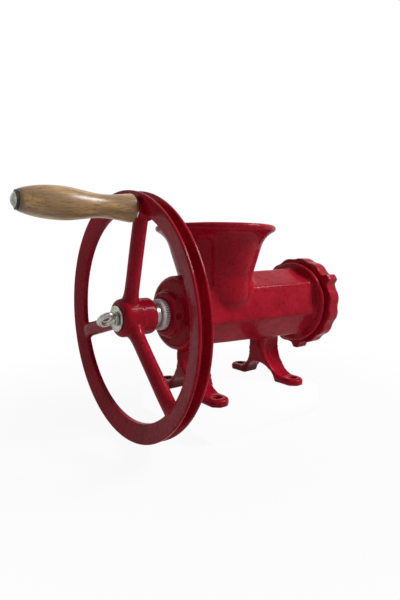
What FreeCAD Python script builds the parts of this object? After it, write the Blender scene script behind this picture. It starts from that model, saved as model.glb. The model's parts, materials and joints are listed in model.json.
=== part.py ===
import FreeCAD, Part
import math
import os

# Hand crank meat grinder with a flywheel. Millimetres, +Z up.
# The shaft axis runs along X and +X points out of the grinding end.
# The origin is on the bench plane, midway between the four foot holes.

# Casting: barrel, rear drum, boss and front nose
axis_height = 106.6
barrel_sides = 7
barrel_rear_radius = 44.5
barrel_front_radius = 51.7
barrel_edge_round = 5.0
drum_rear_x = -101.0
drum_radius = 45.8
drum_length = 20.0
drum_round = 9.0
drum_cone_length = 14.0
boss_base_radius = 28.5
boss_tip_radius = 26.6
boss_edge_round = 3.0
boss_length = 11.5
collar_front_x = 127.0
collar_radius = 59.4
collar_width = 5.5
collar_cone_length = 3.0
nose_radius = 54.0
nose_length = 20.0
chamber_radius = 33.5
chamber_wall_rear = 22.0

# Casting: hopper, a trumpet on an upright axis
hopper_x = -29.5
hopper_root_radius = 40.0
hopper_waist_radius = 47.8
hopper_waist_z = 121.0
hopper_neck_radius = 48.3
hopper_neck_z = 150.0
hopper_flare_radius = 60.0
hopper_flare_z = 189.0
hopper_lip_radius = 77.4
hopper_lip_round = 4.4
hopper_lip_flat = 0.1
hopper_top_z = 214.7
hopper_wall = 6.5
throat_radius = 31.0
throat_top_z = 140.0

# Casting: two leg pairs with drilled foot pads
foot_hole_x = 68.5
foot_hole_y = 52.0
foot_hole_radius = 5.5
pad_radius = 14.0
pad_thickness = 9.0
pad_edge_round = 2.5
pad_shoulder_z = 13.5
drill_length = 36.0
column_half_y = 12.0
column_half_x = 23.5
column_fork_z = 48.0
front_column_inset = 0.0
rear_column_inset = 3.5
column_round = 5.0
leg_strap_thickness = 9.0
leg_strap_hollow = 4.5
leg_flange = 12.0
leg_web_recess = 8.0
leg_strap_recess = 1.8
arch_half_width = 30.0
arch_height = 23.0

# Rear bearing
journal_radius = 15.0
bush_wall = 3.8
bush_sleeve_wall = 3.0
bush_flange_length = 8.5
bush_rib_count = 40
bush_rib_depth = 0.7
set_screw_radius = 2.5
set_screw_inset = 5.0
set_screw_slot_width = 0.8
set_screw_slot_depth = 1.2
set_screw_proud = 0.8
thrust_washer_thickness = 3.0
thrust_washer_radius = 27.0

# Worm, knife and plate
worm_core_rear_radius = 17.0
worm_core_front_radius = 21.0
worm_pitch = 48.0
worm_turns = 3.75
flight_bury = 3.4
flight_root_width = 9.0
flight_tip_width = 5.0
worm_clearance = 0.9
stud_radius = 7.5
stud_square = 15.0
stud_thread_radius = 6.0
stud_thread_depth = 20.0
knife_radius = 46.0
knife_hub_radius = 14.0
knife_thickness = 9.0
knife_blade_width = 13.0
knife_bevel = 4.0
knife_rear_clearance = 1.8
plate_radius = 49.2
plate_thickness = 10.0
plate_proud = 0.5
plate_hole_radius = 4.0
plate_hole_pitch = 11.0
plate_hole_field = 40.0
plate_hub_radius = 13.0
plate_key_radius = 2.5
plate_key_length = 16.0

# Ring nut
nut_root_radius = 64.2
nut_lobe_radius = 20.0
nut_tip_radius = 66.4
nut_divisions = 15
nut_lug_every = 5
nut_lug_tip_radius = 72.0
nut_lug_width = 18.0
nut_lug_tip_width = 6.0
nut_lug_angle = 146.5
nut_gap = 3.5
nut_lip_thickness = 4.5
nut_lip_radius = 42.0
nut_edge_round = 1.5

# Flywheel
wheel_radius = 140.6
rim_depth = 21.3
rim_setback = 28.1
rim_half_width = 9.0
rim_inner_half_width = 3.0
rim_edge_round = 1.4
groove_half_width = 5.4
groove_floor_half_width = 3.0
groove_depth = 9.0
hub_radius = 22.0
hub_length = 43.0
hub_round = 6.0
hub_gap = 7.5
spoke_count = 3
spoke_angle = 105.0
spoke_width = 18.0
spoke_thickness = 15.5
spoke_setback = 28.8
tail_radius = 12.0
tail_short = 4.0
key_width = 7.0
key_height = 7.0
key_length = 32.0
key_depth = 4.0

# Eye bolt and dished washer on the shaft end
eye_thread_radius = 6.0
eye_thread_length = 30.0
eye_thread_bore_spare = 6.0
eye_ring_radius = 8.3
eye_wire_radius = 3.1
eye_collar_radius = 7.75
eye_tilt = 45.0
dish_washer_radius = 14.65
dish_washer_thickness = 2.6
dish_depth = 1.2

# Handle
handle_inset = 17.6
handle_boss_radius = 12.0
handle_boss_front = 1.5
handle_boss_rear = 1.0
grip_length = 114.0
grip_base_radius = 15.0
grip_waist_radius = 11.6
grip_waist_at = 33.0
grip_belly_radius = 15.8
grip_belly_at = 75.0
grip_end_radius = 9.6
grip_end_steepness = 2.5
grip_end_round = 1.6
spindle_radius = 5.0
spindle_head_radius = 6.9
spindle_head_height = 4.2
spindle_tail = 2.0
end_washer_radius = 8.9
base_washer_radius = 12.5
washer_thickness = 1.5
spring_washer_radius = 7.6
spring_washer_thickness = 2.0
spring_washer_gap = 1.5
handle_nut_width = 14.0
handle_nut_height = 5.5

# Fits
running_clearance = 0.05
thread_clearance = 0.08
face_gap = 0.05
side_clearance = 0.1

# Stations along the shaft, worked out from the sizes above
boss_tip_x = drum_rear_x - boss_length
bush_front_x = boss_tip_x - bush_flange_length
hub_rear_x = bush_front_x - hub_gap
hub_front_x = hub_rear_x - hub_length
tail_end_x = hub_front_x + tail_short
rim_mid_x = hub_rear_x - rim_setback
spoke_mid_x = hub_rear_x - spoke_setback
chamber_rear_x = drum_rear_x + chamber_wall_rear
worm_rear_x = chamber_rear_x + thrust_washer_thickness + face_gap
nose_end_x = collar_front_x + nose_length
plate_front_x = nose_end_x + plate_proud
plate_rear_x = plate_front_x - plate_thickness
knife_front_x = plate_rear_x - face_gap
knife_rear_x = knife_front_x - knife_thickness
seat_x = knife_rear_x - knife_rear_clearance
worm_front_x = knife_rear_x - face_gap
barrel_rear_x = drum_rear_x + drum_round
barrel_front_x = collar_front_x - collar_width - collar_cone_length
nut_rear_x = collar_front_x + nut_gap
nut_lip_x = plate_front_x + face_gap
nut_front_x = nut_lip_x + nut_lip_thickness
flight_radius = chamber_radius - worm_clearance
rim_inner_radius = wheel_radius - rim_depth
groove_floor_radius = wheel_radius - groove_depth
bush_radius = journal_radius + bush_wall
sleeve_radius = journal_radius + bush_sleeve_wall
seat_radius = plate_radius + running_clearance

# Handle axis and its stations
handle_radius = wheel_radius - handle_inset
handle_y = handle_radius * math.cos(math.radians(spoke_angle))
handle_z = axis_height + handle_radius * math.sin(math.radians(spoke_angle))
rim_front_x = rim_mid_x - rim_half_width
rim_rear_x = rim_mid_x + rim_half_width
handle_face_x = rim_front_x - handle_boss_front
handle_back_x = rim_rear_x + handle_boss_rear
grip_base_x = handle_face_x - washer_thickness - face_gap
grip_end_x = grip_base_x - grip_length
head_face_x = grip_end_x - face_gap - washer_thickness

UP = FreeCAD.Vector(0, 0, 1)
OUT = FreeCAD.Vector(1, 0, 0)
AXIS = FreeCAD.Vector(0, 0, axis_height)


def point(x, y, z):
    return FreeCAD.Vector(x, y, z)


def bar(x_start, x_end, radius, y=0.0, z=axis_height):
    """Round bar along X between two stations."""
    return Part.makeCylinder(radius, x_end - x_start, point(x_start, y, z), OUT)


def block(x_start, x_end, y_start, y_end, z_start, z_end):
    return Part.makeBox(x_end - x_start, y_end - y_start, z_end - z_start, point(x_start, y_start, z_start))


def line(start, end):
    return Part.LineSegment(start, end).toShape()


def arc(start, middle, end):
    return Part.Arc(start, middle, end).toShape()


def turned(corners):
    """Solid turned about the shaft axis, from (x, radius) corners."""
    points = [point(x, 0, axis_height + radius) for x, radius in corners]
    face = Part.Face(Part.makePolygon(points + points[:1]))
    return face.revolve(AXIS, OUT, 360)


def slab(points, direction):
    """Prism with a straight-sided outline."""
    return Part.Face(Part.makePolygon(points + points[:1])).extrude(direction)


def fuse(shapes):
    return shapes[0].multiFuse(shapes[1:]).removeSplitter()


def is_ring(edge, x, radius):
    """True for a circle about a line along X at one station."""
    curve = edge.Curve
    if not isinstance(curve, Part.Circle):
        return False
    return abs(curve.Center.x - x) < 1e-4 and abs(curve.Radius - radius) < 1e-4


def round_rings(shape, radius, rings):
    """Rounds the circular edges named by (x, radius)."""
    edges = [edge for edge in shape.Edges if any(is_ring(edge, x, r) for x, r in rings)]
    return shape.makeFillet(radius, edges)


def spun(shape, angle):
    """Copy turned about the shaft axis, in degrees from +Y towards +Z."""
    copy = shape.copy()
    copy.rotate(AXIS, OUT, angle)
    return copy


def facet_wire(x, radius):
    """Regular outline of the barrel with one corner on top."""
    corners = []
    for index in range(barrel_sides):
        angle = math.radians(90.0 + 360.0 * index / barrel_sides)
        corners.append(point(x, radius * math.cos(angle), axis_height + radius * math.sin(angle)))
    return Part.makePolygon(corners + corners[:1])


def barrel():
    """Tapered barrel with rounded facets, drum and boss behind it, collar and nose in front."""
    wires = [facet_wire(barrel_rear_x, barrel_rear_radius), facet_wire(collar_front_x, barrel_front_radius)]
    tube = Part.makeLoft(wires, True, True)
    long_edges = [edge for edge in tube.Edges if abs(edge.BoundBox.XLength) > barrel_edge_round]
    tube = tube.makeFillet(barrel_edge_round, long_edges)
    drum_front_x = drum_rear_x + drum_length
    facet_radius = barrel_rear_radius * math.cos(math.pi / barrel_sides)
    drum = turned([
        (drum_rear_x, 0.0),
        (drum_rear_x, drum_radius),
        (drum_front_x, drum_radius),
        (drum_front_x + drum_cone_length, facet_radius),
        (drum_front_x + drum_cone_length, 0.0),
    ])
    drum = round_rings(drum, drum_round, [(drum_rear_x, drum_radius)])
    boss_root_x = drum_rear_x + drum_round
    boss = turned([
        (boss_root_x, 0.0),
        (boss_root_x, boss_base_radius),
        (drum_rear_x, boss_base_radius),
        (boss_tip_x, boss_tip_radius),
        (boss_tip_x, 0.0),
    ])
    boss = round_rings(boss, boss_edge_round, [(boss_tip_x, boss_tip_radius)])
    collar_rear_x = collar_front_x - collar_width
    collar = turned([
        (barrel_front_x, 0.0),
        (barrel_front_x, barrel_front_radius),
        (collar_rear_x, collar_radius),
        (collar_front_x, collar_radius),
        (collar_front_x, nose_radius),
        (nose_end_x, nose_radius),
        (nose_end_x, 0.0),
    ])
    return fuse([tube, drum, boss, collar])


def hopper_profile(offset, floor, lip_radius, top_z):
    """Half section of the trumpet, moved inwards by an offset, from (radius, z) corners under its neck."""
    neck = point(hopper_x + hopper_neck_radius - offset, 0, hopper_neck_z)
    flare = point(hopper_x + hopper_flare_radius - offset, 0, hopper_flare_z)
    lip = point(hopper_x + lip_radius, 0, top_z)
    lean = (hopper_flare_radius - hopper_neck_radius) / (hopper_flare_z - hopper_neck_z)
    run = FreeCAD.Vector(lean, 0, 1).normalize()
    chord = lip - flare
    square = FreeCAD.Vector(run.z, 0, -run.x)
    bend_radius = chord.dot(chord) / (2.0 * chord.dot(square))
    centre = flare + square * bend_radius
    middle = centre + ((flare + lip) * 0.5 - centre).normalize() * bend_radius
    foot = point(hopper_x, 0, floor[0][1])
    head = point(hopper_x, 0, top_z)
    corners = [foot] + [point(hopper_x + radius, 0, z) for radius, z in floor] + [neck, flare]
    edges = [line(start, end) for start, end in zip(corners, corners[1:])]
    edges += [arc(flare, middle, lip), line(lip, head), line(head, foot)]
    return Part.Face(Part.Wire(edges))


def hopper_outside():
    lip_z = hopper_top_z - hopper_lip_round
    lip_run = hopper_lip_round * math.sqrt(0.5)
    floor = [(hopper_root_radius, axis_height), (hopper_waist_radius, hopper_waist_z)]
    face = hopper_profile(0.0, floor, hopper_lip_radius - hopper_lip_round + lip_run, lip_z - lip_run)
    trumpet = face.revolve(point(hopper_x, 0, 0), UP, 360)
    lip_plate = Part.makeCylinder(hopper_lip_radius, 2.0 * hopper_lip_round,
                                  point(hopper_x, 0, lip_z - hopper_lip_round), UP)
    lip_plate = lip_plate.makeFillet(hopper_lip_round - hopper_lip_flat, [
        edge for edge in lip_plate.Edges if isinstance(edge.Curve, Part.Circle)])
    return fuse([trumpet, lip_plate])


def hopper_inside():
    mouth_radius = hopper_lip_radius - 2.0 * hopper_lip_round
    face = hopper_profile(hopper_wall, [(throat_radius, throat_top_z)], mouth_radius, hopper_top_z)
    mouth = face.revolve(point(hopper_x, 0, 0), UP, 360)
    throat = Part.makeCylinder(throat_radius, throat_top_z - axis_height, point(hopper_x, 0, axis_height), UP)
    return fuse([mouth, throat])


def leg_outline():
    """Forked leg seen along X: a column that splits into two straps over an arch."""
    fork = point(0, column_half_y, column_fork_z)
    toe = point(0, arch_half_width + leg_strap_thickness, pad_thickness)
    middle = (fork + toe) * 0.5 + FreeCAD.Vector(0, -1, -1) * leg_strap_hollow

    def mirrored(p):
        return point(p.x, -p.y, p.z)

    end_top = point(0, foot_hole_y, pad_thickness)
    end_low = point(0, foot_hole_y, 0)
    heel = point(0, arch_half_width, 0)
    crown = point(0, 0, arch_height)
    top = point(0, column_half_y, axis_height)
    edges = [
        line(mirrored(top), top),
        line(top, fork),
        arc(fork, middle, toe),
        line(toe, end_top),
        line(end_top, end_low),
        line(end_low, heel),
        arc(heel, crown, mirrored(heel)),
        line(mirrored(heel), mirrored(end_low)),
        line(mirrored(end_low), mirrored(end_top)),
        line(mirrored(end_top), mirrored(toe)),
        arc(mirrored(toe), mirrored(middle), mirrored(fork)),
        line(mirrored(fork), mirrored(top)),
    ]
    return Part.Face(Part.Wire(edges))


def leg_recess(side):
    """Pocket that leaves a web behind the flange on one side of a leg, to be placed along X."""
    inner = column_half_y - leg_web_recess
    outer = arch_half_width + leg_strap_thickness
    fork = point(0, side * inner, column_fork_z)
    toe = point(0, side * outer, pad_thickness)
    half_y = 0.5 * (column_half_y + outer)
    half_z = 0.5 * (column_fork_z + pad_thickness)
    depth = leg_strap_hollow + leg_strap_recess
    middle = point(0, side * (half_y - depth), half_z - depth)
    top = point(0, side * inner, axis_height)
    top_end = point(0, side * outer, axis_height)
    edges = [line(top, fork), arc(fork, middle, toe), line(toe, top_end), line(top_end, top)]
    return Part.Face(Part.Wire(edges)).extrude(OUT * (2.0 * column_half_x))


def leg_pair(x, column_inset):
    """One casting leg with two foot pads, at a station along X."""
    column_x = x - math.copysign(column_inset, x)
    stem = leg_outline().extrude(OUT * (2.0 * column_half_x))
    stem.translate(point(column_x - column_half_x, 0, 0))
    side = []
    for sign in (1.0, -1.0):
        run = [
            point(x + sign * pad_radius, 0, 0),
            point(x + sign * pad_radius, 0, pad_shoulder_z),
            point(column_x + sign * column_half_x, 0, column_fork_z),
            point(column_x + sign * column_half_x, 0, axis_height),
        ]
        side.append(run)
    reach = 2.0 * foot_hole_y
    shadow = slab(side[0] + side[1][::-1], point(0, reach, 0))
    shadow.translate(point(0, -0.5 * reach, 0))
    stem = stem.common(shadow)
    column_edges = [edge for edge in stem.Edges if edge.BoundBox.ZMin > column_fork_z - 1e-3
                    and edge.BoundBox.ZLength > column_round]
    stem = stem.makeFillet(column_round, column_edges)
    for sign in (1.0, -1.0):
        pocket = leg_recess(sign)
        pocket.translate(point(column_x - column_half_x + math.copysign(leg_flange, x), 0, 0))
        stem = stem.cut(pocket)
    ends = [
        Part.makeCylinder(pad_radius, pad_thickness, point(x, y, 0), UP) for y in (foot_hole_y, -foot_hole_y)]
    leg = fuse([stem] + ends)
    pad_edges = [edge for edge in leg.Edges if abs(edge.BoundBox.ZMin - pad_thickness) < 1e-3
                 and edge.BoundBox.ZLength < 1e-3 and abs(edge.CenterOfMass.y) > foot_hole_y]
    return leg.makeFillet(pad_edge_round, pad_edges)


def foot_holes():
    places = [(x, y) for x in (foot_hole_x, -foot_hole_x) for y in (foot_hole_y, -foot_hole_y)]
    return [
        Part.makeCylinder(foot_hole_radius, drill_length, point(x, y, -pad_thickness), UP) for x, y in places]


def set_screw_x():
    return drum_rear_x - set_screw_inset


def set_screw_outer():
    """Distance of the screw's outer face from the shaft axis, just proud of the cone of the boss."""
    share = set_screw_inset / boss_length
    return boss_base_radius + (boss_tip_radius - boss_base_radius) * share + set_screw_proud


def plate_key_place():
    """The plate key lies at the bottom of the nose."""
    return point(0, 0, axis_height - plate_radius)


def plate_key_bar(radius):
    place = plate_key_place()
    return bar(plate_front_x - plate_key_length, plate_front_x, radius, place.y, place.z)


def body_casting():
    front_leg = leg_pair(foot_hole_x, front_column_inset)
    rear_leg = leg_pair(-foot_hole_x, rear_column_inset)
    outside = fuse([barrel(), hopper_outside(), front_leg, rear_leg])
    screw_hole = Part.makeCylinder(set_screw_radius + thread_clearance, boss_base_radius,
                                   point(set_screw_x(), 0, axis_height), point(0, -1, 0))
    hollows = [
        bar(chamber_rear_x, nose_end_x, chamber_radius),
        bar(seat_x, nose_end_x, seat_radius),
        bar(boss_tip_x - boss_length, nose_end_x, sleeve_radius + running_clearance),
        hopper_inside(),
        screw_hole,
        plate_key_bar(plate_key_radius + running_clearance),
    ]
    return outside.cut(fuse(hollows + foot_holes()))


def rear_bush():
    """Flanged sleeve with a finely ribbed rim."""
    sleeve_end_x = chamber_rear_x
    sleeve = bar(boss_tip_x, sleeve_end_x, sleeve_radius)
    flange = bar(bush_front_x, boss_tip_x - face_gap, bush_radius)
    neck = bar(boss_tip_x - 2.0 * face_gap, boss_tip_x, sleeve_radius)
    groove_width = math.pi * bush_radius / bush_rib_count
    groove = block(bush_front_x, boss_tip_x, -0.5 * groove_width, 0.5 * groove_width,
                   axis_height + bush_radius - bush_rib_depth, axis_height + bush_radius + bush_rib_depth)
    grooves = [spun(groove, 360.0 * index / bush_rib_count) for index in range(bush_rib_count)]
    flange = flange.cut(Part.makeCompound(grooves))
    bore = bar(bush_front_x, sleeve_end_x, journal_radius + running_clearance)
    return fuse([flange, neck, sleeve]).cut(bore)


def bush_set_screw():
    """Slotted grub screw that holds the bush in the boss."""
    inner = sleeve_radius + face_gap
    length = set_screw_outer() - inner
    start = point(set_screw_x(), -inner, axis_height)
    screw = Part.makeCylinder(set_screw_radius, length, start, point(0, -1, 0))
    outer = -set_screw_outer()
    half_slot = 0.5 * set_screw_slot_width
    slot = block(set_screw_x() - set_screw_radius, set_screw_x() + set_screw_radius,
                 outer, outer + set_screw_slot_depth, axis_height - half_slot, axis_height + half_slot)
    return screw.cut(slot)


def thrust_washer():
    end_x = chamber_rear_x + thrust_washer_thickness
    return bar(chamber_rear_x, end_x, thrust_washer_radius).cut(
        bar(chamber_rear_x, end_x, journal_radius + running_clearance))


def key_slot(length, extra):
    """Keyway for the drive key, in the tail of the shaft and in the hub."""
    half = 0.5 * key_width + extra
    start_x = hub_rear_x - 0.5 * (hub_length - tail_short) - 0.5 * length
    floor_z = axis_height + tail_radius - key_depth
    return block(start_x, start_x + length, -half, half, floor_z, floor_z + key_height)


def drive_key():
    return key_slot(key_length, 0.0)


def worm_flight():
    """Screw flight swept along a helix, tapering to its edge."""
    root = worm_core_rear_radius - flight_bury
    length = worm_pitch * worm_turns
    helix = Part.makeHelix(worm_pitch, length, root)
    half_root = 0.5 * flight_root_width
    half_tip = 0.5 * flight_tip_width
    section = Part.makePolygon([
        point(root, 0, -half_root),
        point(flight_radius, 0, -half_tip),
        point(flight_radius, 0, half_tip),
        point(root, 0, half_root),
        point(root, 0, -half_root),
    ])
    flight = Part.Wire(helix.Edges).makePipeShell([section], True, True)
    flight.rotate(point(0, 0, 0), point(0, 1, 0), 90)
    margin = 0.5 * (worm_front_x - worm_rear_x - length)
    flight.translate(point(worm_rear_x + margin, 0, axis_height))
    return flight


def auger():
    """Worm with its journal and its keyed, tapped tail."""
    core = turned([
        (worm_rear_x, 0.0),
        (worm_rear_x, worm_core_rear_radius),
        (worm_front_x, worm_core_front_radius),
        (worm_front_x, 0.0),
    ])
    journal = bar(hub_rear_x, worm_rear_x, journal_radius)
    tail = bar(tail_end_x, hub_rear_x, tail_radius)
    shaft = fuse([core, journal, tail, worm_flight()])
    tapped = bar(tail_end_x, tail_end_x + eye_thread_length + eye_thread_bore_spare,
                 eye_thread_radius + thread_clearance)
    stud_hole = bar(worm_front_x - stud_thread_depth, worm_front_x, stud_thread_radius + running_clearance)
    return shaft.cut(fuse([tapped, key_slot(key_length, running_clearance), stud_hole]))


def knife_stud():
    """Stud screwed into the worm: a square that drives the knife and a pin that carries the plate."""
    half = 0.5 * stud_square
    square = block(worm_front_x, knife_front_x, -half, half, axis_height - half, axis_height + half)
    thread = bar(worm_front_x - stud_thread_depth + face_gap, worm_front_x, stud_thread_radius)
    pin = bar(knife_front_x, plate_front_x, stud_radius)
    return fuse([thread, square, pin])


def cross_knife():
    """Four bevelled blades round a square hole."""
    hub = bar(knife_rear_x, knife_front_x, knife_hub_radius)
    half = 0.5 * knife_blade_width
    blade = slab([
        point(knife_rear_x, -half, axis_height),
        point(knife_rear_x, half - knife_bevel, axis_height),
        point(knife_front_x, half, axis_height),
        point(knife_front_x, -half, axis_height),
    ], UP * knife_radius)
    blades = [spun(blade, 90.0 * index) for index in range(4)]
    knife = fuse([hub] + blades).common(bar(knife_rear_x, knife_front_x, knife_radius))
    reach = 0.5 * stud_square + running_clearance
    square = block(knife_rear_x, knife_front_x, -reach, reach, axis_height - reach, axis_height + reach)
    return knife.cut(square)


def plate_holes():
    """Holes on a triangular grid between the hub and the rim of the plate."""
    rows = int(plate_hole_field / plate_hole_pitch) + 2
    holes = []
    for row in range(-rows, rows + 1):
        for column in range(-rows, rows + 1):
            y = plate_hole_pitch * (column + 0.5 * (row % 2))
            z = plate_hole_pitch * row * math.sqrt(0.75)
            distance = math.hypot(y, z)
            if plate_hub_radius + plate_hole_radius < distance <= plate_hole_field:
                holes.append(bar(plate_rear_x, plate_front_x, plate_hole_radius, y, axis_height + z))
    return holes


def hole_plate():
    plate = bar(plate_rear_x, plate_front_x, plate_radius)
    centre = bar(plate_rear_x, plate_front_x, stud_radius + running_clearance)
    notch = plate_key_bar(plate_key_radius + side_clearance)
    return plate.cut(Part.makeCompound(plate_holes() + [centre, notch]))


def plate_key():
    return plate_key_bar(plate_key_radius)


def nut_lug():
    """Lug that narrows to its tip, pointing along +Y."""
    root = nut_root_radius - nut_edge_round
    half_root = 0.5 * nut_lug_width
    half_tip = 0.5 * nut_lug_tip_width
    return slab([
        point(nut_rear_x, root, axis_height - half_root),
        point(nut_rear_x, nut_lug_tip_radius, axis_height - half_tip),
        point(nut_rear_x, nut_lug_tip_radius, axis_height + half_tip),
        point(nut_rear_x, root, axis_height + half_root),
    ], OUT * (nut_front_x - nut_rear_x))


def ring_nut():
    """Lobed ring with three lugs, threaded inside, with a lip that holds the plate."""
    lobe_centre = nut_tip_radius - nut_lobe_radius
    step = 360.0 / nut_divisions
    pieces = [bar(nut_rear_x, nut_front_x, nut_root_radius)]
    for index in range(nut_divisions):
        angle = nut_lug_angle + step * index
        if index % nut_lug_every == 0:
            pieces.append(spun(nut_lug(), angle))
        else:
            lobe = bar(nut_rear_x, nut_front_x, nut_lobe_radius, lobe_centre)
            pieces.append(spun(lobe, angle))
    ring = fuse(pieces)
    outer_edges = [edge for edge in ring.Edges if edge.BoundBox.XLength < 1e-3]
    ring = ring.makeFillet(nut_edge_round, outer_edges)
    thread = bar(nut_rear_x, nut_lip_x, nose_radius + thread_clearance)
    mouth = bar(nut_rear_x, nut_front_x, nut_lip_radius)
    return ring.cut(fuse([thread, mouth]))


def rim():
    """Rim of wedge section with a belt groove."""
    ring = turned([
        (rim_mid_x - rim_inner_half_width, rim_inner_radius),
        (rim_mid_x - rim_half_width, wheel_radius),
        (rim_mid_x - groove_half_width, wheel_radius),
        (rim_mid_x - groove_floor_half_width, groove_floor_radius),
        (rim_mid_x + groove_floor_half_width, groove_floor_radius),
        (rim_mid_x + groove_half_width, wheel_radius),
        (rim_mid_x + rim_half_width, wheel_radius),
        (rim_mid_x + rim_inner_half_width, rim_inner_radius),
    ])
    edges = []
    for sign in (1.0, -1.0):
        edges.append((rim_mid_x + sign * rim_half_width, wheel_radius))
        edges.append((rim_mid_x + sign * groove_half_width, wheel_radius))
        edges.append((rim_mid_x + sign * rim_inner_half_width, rim_inner_radius))
    return round_rings(ring, rim_edge_round, edges)


def spoke(angle):
    """Oval spoke from the hub into the rim."""
    middle = point(spoke_mid_x, 0, axis_height)
    if spoke_width > spoke_thickness:
        ends = (middle + point(0, 0.5 * spoke_width, 0), middle + point(0.5 * spoke_thickness, 0, 0))
    else:
        ends = (middle + point(0.5 * spoke_thickness, 0, 0), middle + point(0, 0.5 * spoke_width, 0))
    oval = Part.Ellipse(ends[0], ends[1], middle).toShape()
    reach = 0.5 * (rim_inner_radius + groove_floor_radius)
    bar_up = Part.Face(Part.Wire([oval])).extrude(UP * reach)
    return spun(bar_up, angle - 90.0)


def flywheel():
    hub = round_rings(bar(hub_front_x, hub_rear_x, hub_radius), hub_round,
                      [(hub_front_x, hub_radius), (hub_rear_x, hub_radius)])
    boss = bar(handle_face_x, handle_back_x, handle_boss_radius, handle_y, handle_z)
    boss = boss.common(bar(handle_face_x, handle_back_x, groove_floor_radius))
    spokes = [spoke(spoke_angle + 360.0 * index / spoke_count) for index in range(spoke_count)]
    wheel = fuse([rim(), hub, boss] + spokes)
    shaft_hole = bar(hub_front_x, hub_rear_x, tail_radius + running_clearance)
    slot = key_slot(key_length, running_clearance).BoundBox
    keyway = block(hub_front_x, slot.XMax, slot.YMin, slot.YMax, axis_height, slot.ZMax + running_clearance)
    pin_hole = bar(handle_face_x, handle_back_x, spindle_radius + running_clearance, handle_y, handle_z)
    return wheel.cut(fuse([shaft_hole, keyway, pin_hole]))


def wheel_washer():
    """Dished washer that clamps the hub."""
    rear_x = hub_front_x
    front_x = hub_front_x - dish_washer_thickness
    hole = eye_thread_radius + side_clearance
    flat = eye_wire_radius + eye_thread_radius
    return turned([
        (rear_x, hole),
        (rear_x, dish_washer_radius),
        (front_x, dish_washer_radius),
        (front_x + dish_depth, flat),
        (front_x + dish_depth, hole),
    ])


def eye_bolt():
    """Closed ring on a threaded shank, in line with the shaft."""
    seat_front_x = hub_front_x - dish_washer_thickness + dish_depth - face_gap
    shank = bar(seat_front_x, tail_end_x + eye_thread_length, eye_thread_radius)
    collar = bar(seat_front_x - eye_wire_radius, seat_front_x, eye_collar_radius)
    eye_x = seat_front_x - eye_wire_radius - eye_ring_radius
    normal = point(0, math.cos(math.radians(eye_tilt)), math.sin(math.radians(eye_tilt)))
    eye = Part.makeTorus(eye_ring_radius, eye_wire_radius, point(eye_x, 0, axis_height), normal)
    return fuse([collar, shank, eye])


def handle_grip():
    """Turned wooden grip with a waist near the wheel and a belly near the end."""
    def station(distance, radius):
        return point(grip_base_x - distance, handle_y, handle_z + radius)

    stops = [
        station(0.0, grip_base_radius),
        station(grip_waist_at, grip_waist_radius),
        station(grip_belly_at, grip_belly_radius),
        station(grip_length, grip_end_radius),
    ]
    level = FreeCAD.Vector(-1, 0, 0)
    curve = Part.BSplineCurve()
    start = FreeCAD.Vector(-grip_waist_at, 0, grip_waist_radius - grip_base_radius)
    drop = grip_length - grip_belly_at
    finish = FreeCAD.Vector(-drop, 0, grip_end_steepness * (grip_end_radius - grip_belly_radius))
    curve.interpolate(Points=stops, Tangents=[start.normalize(), level, level, finish.normalize()],
                      TangentFlags=[True, True, True, True])
    base = point(grip_base_x, handle_y, handle_z)
    end = point(grip_end_x, handle_y, handle_z)
    outline = Part.Wire([line(base, stops[0]), curve.toShape(), line(stops[-1], end), line(end, base)])
    grip = Part.Face(outline).revolve(base, OUT, 360)
    grip = round_rings(grip, grip_end_round, [(grip_base_x, grip_base_radius), (grip_end_x, grip_end_radius)])
    return grip.cut(bar(grip_end_x, grip_base_x, spindle_radius + running_clearance, handle_y, handle_z))


def handle_ring(x_start, thickness, outer_radius):
    """Flat washer on the handle axis."""
    outer = bar(x_start, x_start + thickness, outer_radius, handle_y, handle_z)
    hole_radius = spindle_radius + running_clearance
    return outer.cut(bar(x_start, x_start + thickness, hole_radius, handle_y, handle_z))


def handle_end_washer():
    return handle_ring(head_face_x, washer_thickness, end_washer_radius)


def handle_base_washer():
    return handle_ring(handle_face_x - washer_thickness, washer_thickness, base_washer_radius)


def handle_spindle():
    """Long bolt with a domed head that carries the grip."""
    end_x = handle_back_x + spring_washer_thickness + handle_nut_height + spindle_tail
    shank = bar(head_face_x, end_x, spindle_radius, handle_y, handle_z)
    dome_radius = (spindle_head_radius ** 2 + spindle_head_height ** 2) / (2.0 * spindle_head_height)
    centre = point(head_face_x + dome_radius - spindle_head_height, handle_y, handle_z)
    ball = Part.makeSphere(dome_radius, centre)
    blank = bar(head_face_x - spindle_head_height, head_face_x, spindle_head_radius, handle_y, handle_z)
    head = ball.common(blank)
    return fuse([shank, head])


def handle_spring_washer():
    """Split ring under the nut."""
    ring = handle_ring(handle_back_x, spring_washer_thickness, spring_washer_radius)
    half = 0.5 * spring_washer_gap
    split = block(handle_back_x, handle_back_x + spring_washer_thickness, handle_y - half, handle_y + half,
                  handle_z, handle_z + spring_washer_radius)
    return ring.cut(split)


def handle_nut():
    """Hexagon nut behind the rim."""
    start_x = handle_back_x + spring_washer_thickness
    corner = 0.5 * handle_nut_width / math.cos(math.radians(30.0))
    corners = []
    for index in range(6):
        angle = math.radians(60.0 * index)
        y = handle_y + corner * math.cos(angle)
        z = handle_z + corner * math.sin(angle)
        corners.append(point(start_x, y, z))
    nut = slab(corners, OUT * handle_nut_height)
    hole = bar(start_x, start_x + handle_nut_height, spindle_radius + running_clearance, handle_y, handle_z)
    return nut.cut(hole)


pieces = [
    body_casting, rear_bush, bush_set_screw, thrust_washer, plate_key,
    auger, drive_key, knife_stud, cross_knife, hole_plate, ring_nut,
    flywheel, wheel_washer, eye_bolt,
    handle_grip, handle_spindle, handle_end_washer, handle_base_washer, handle_spring_washer, handle_nut,
]

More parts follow.
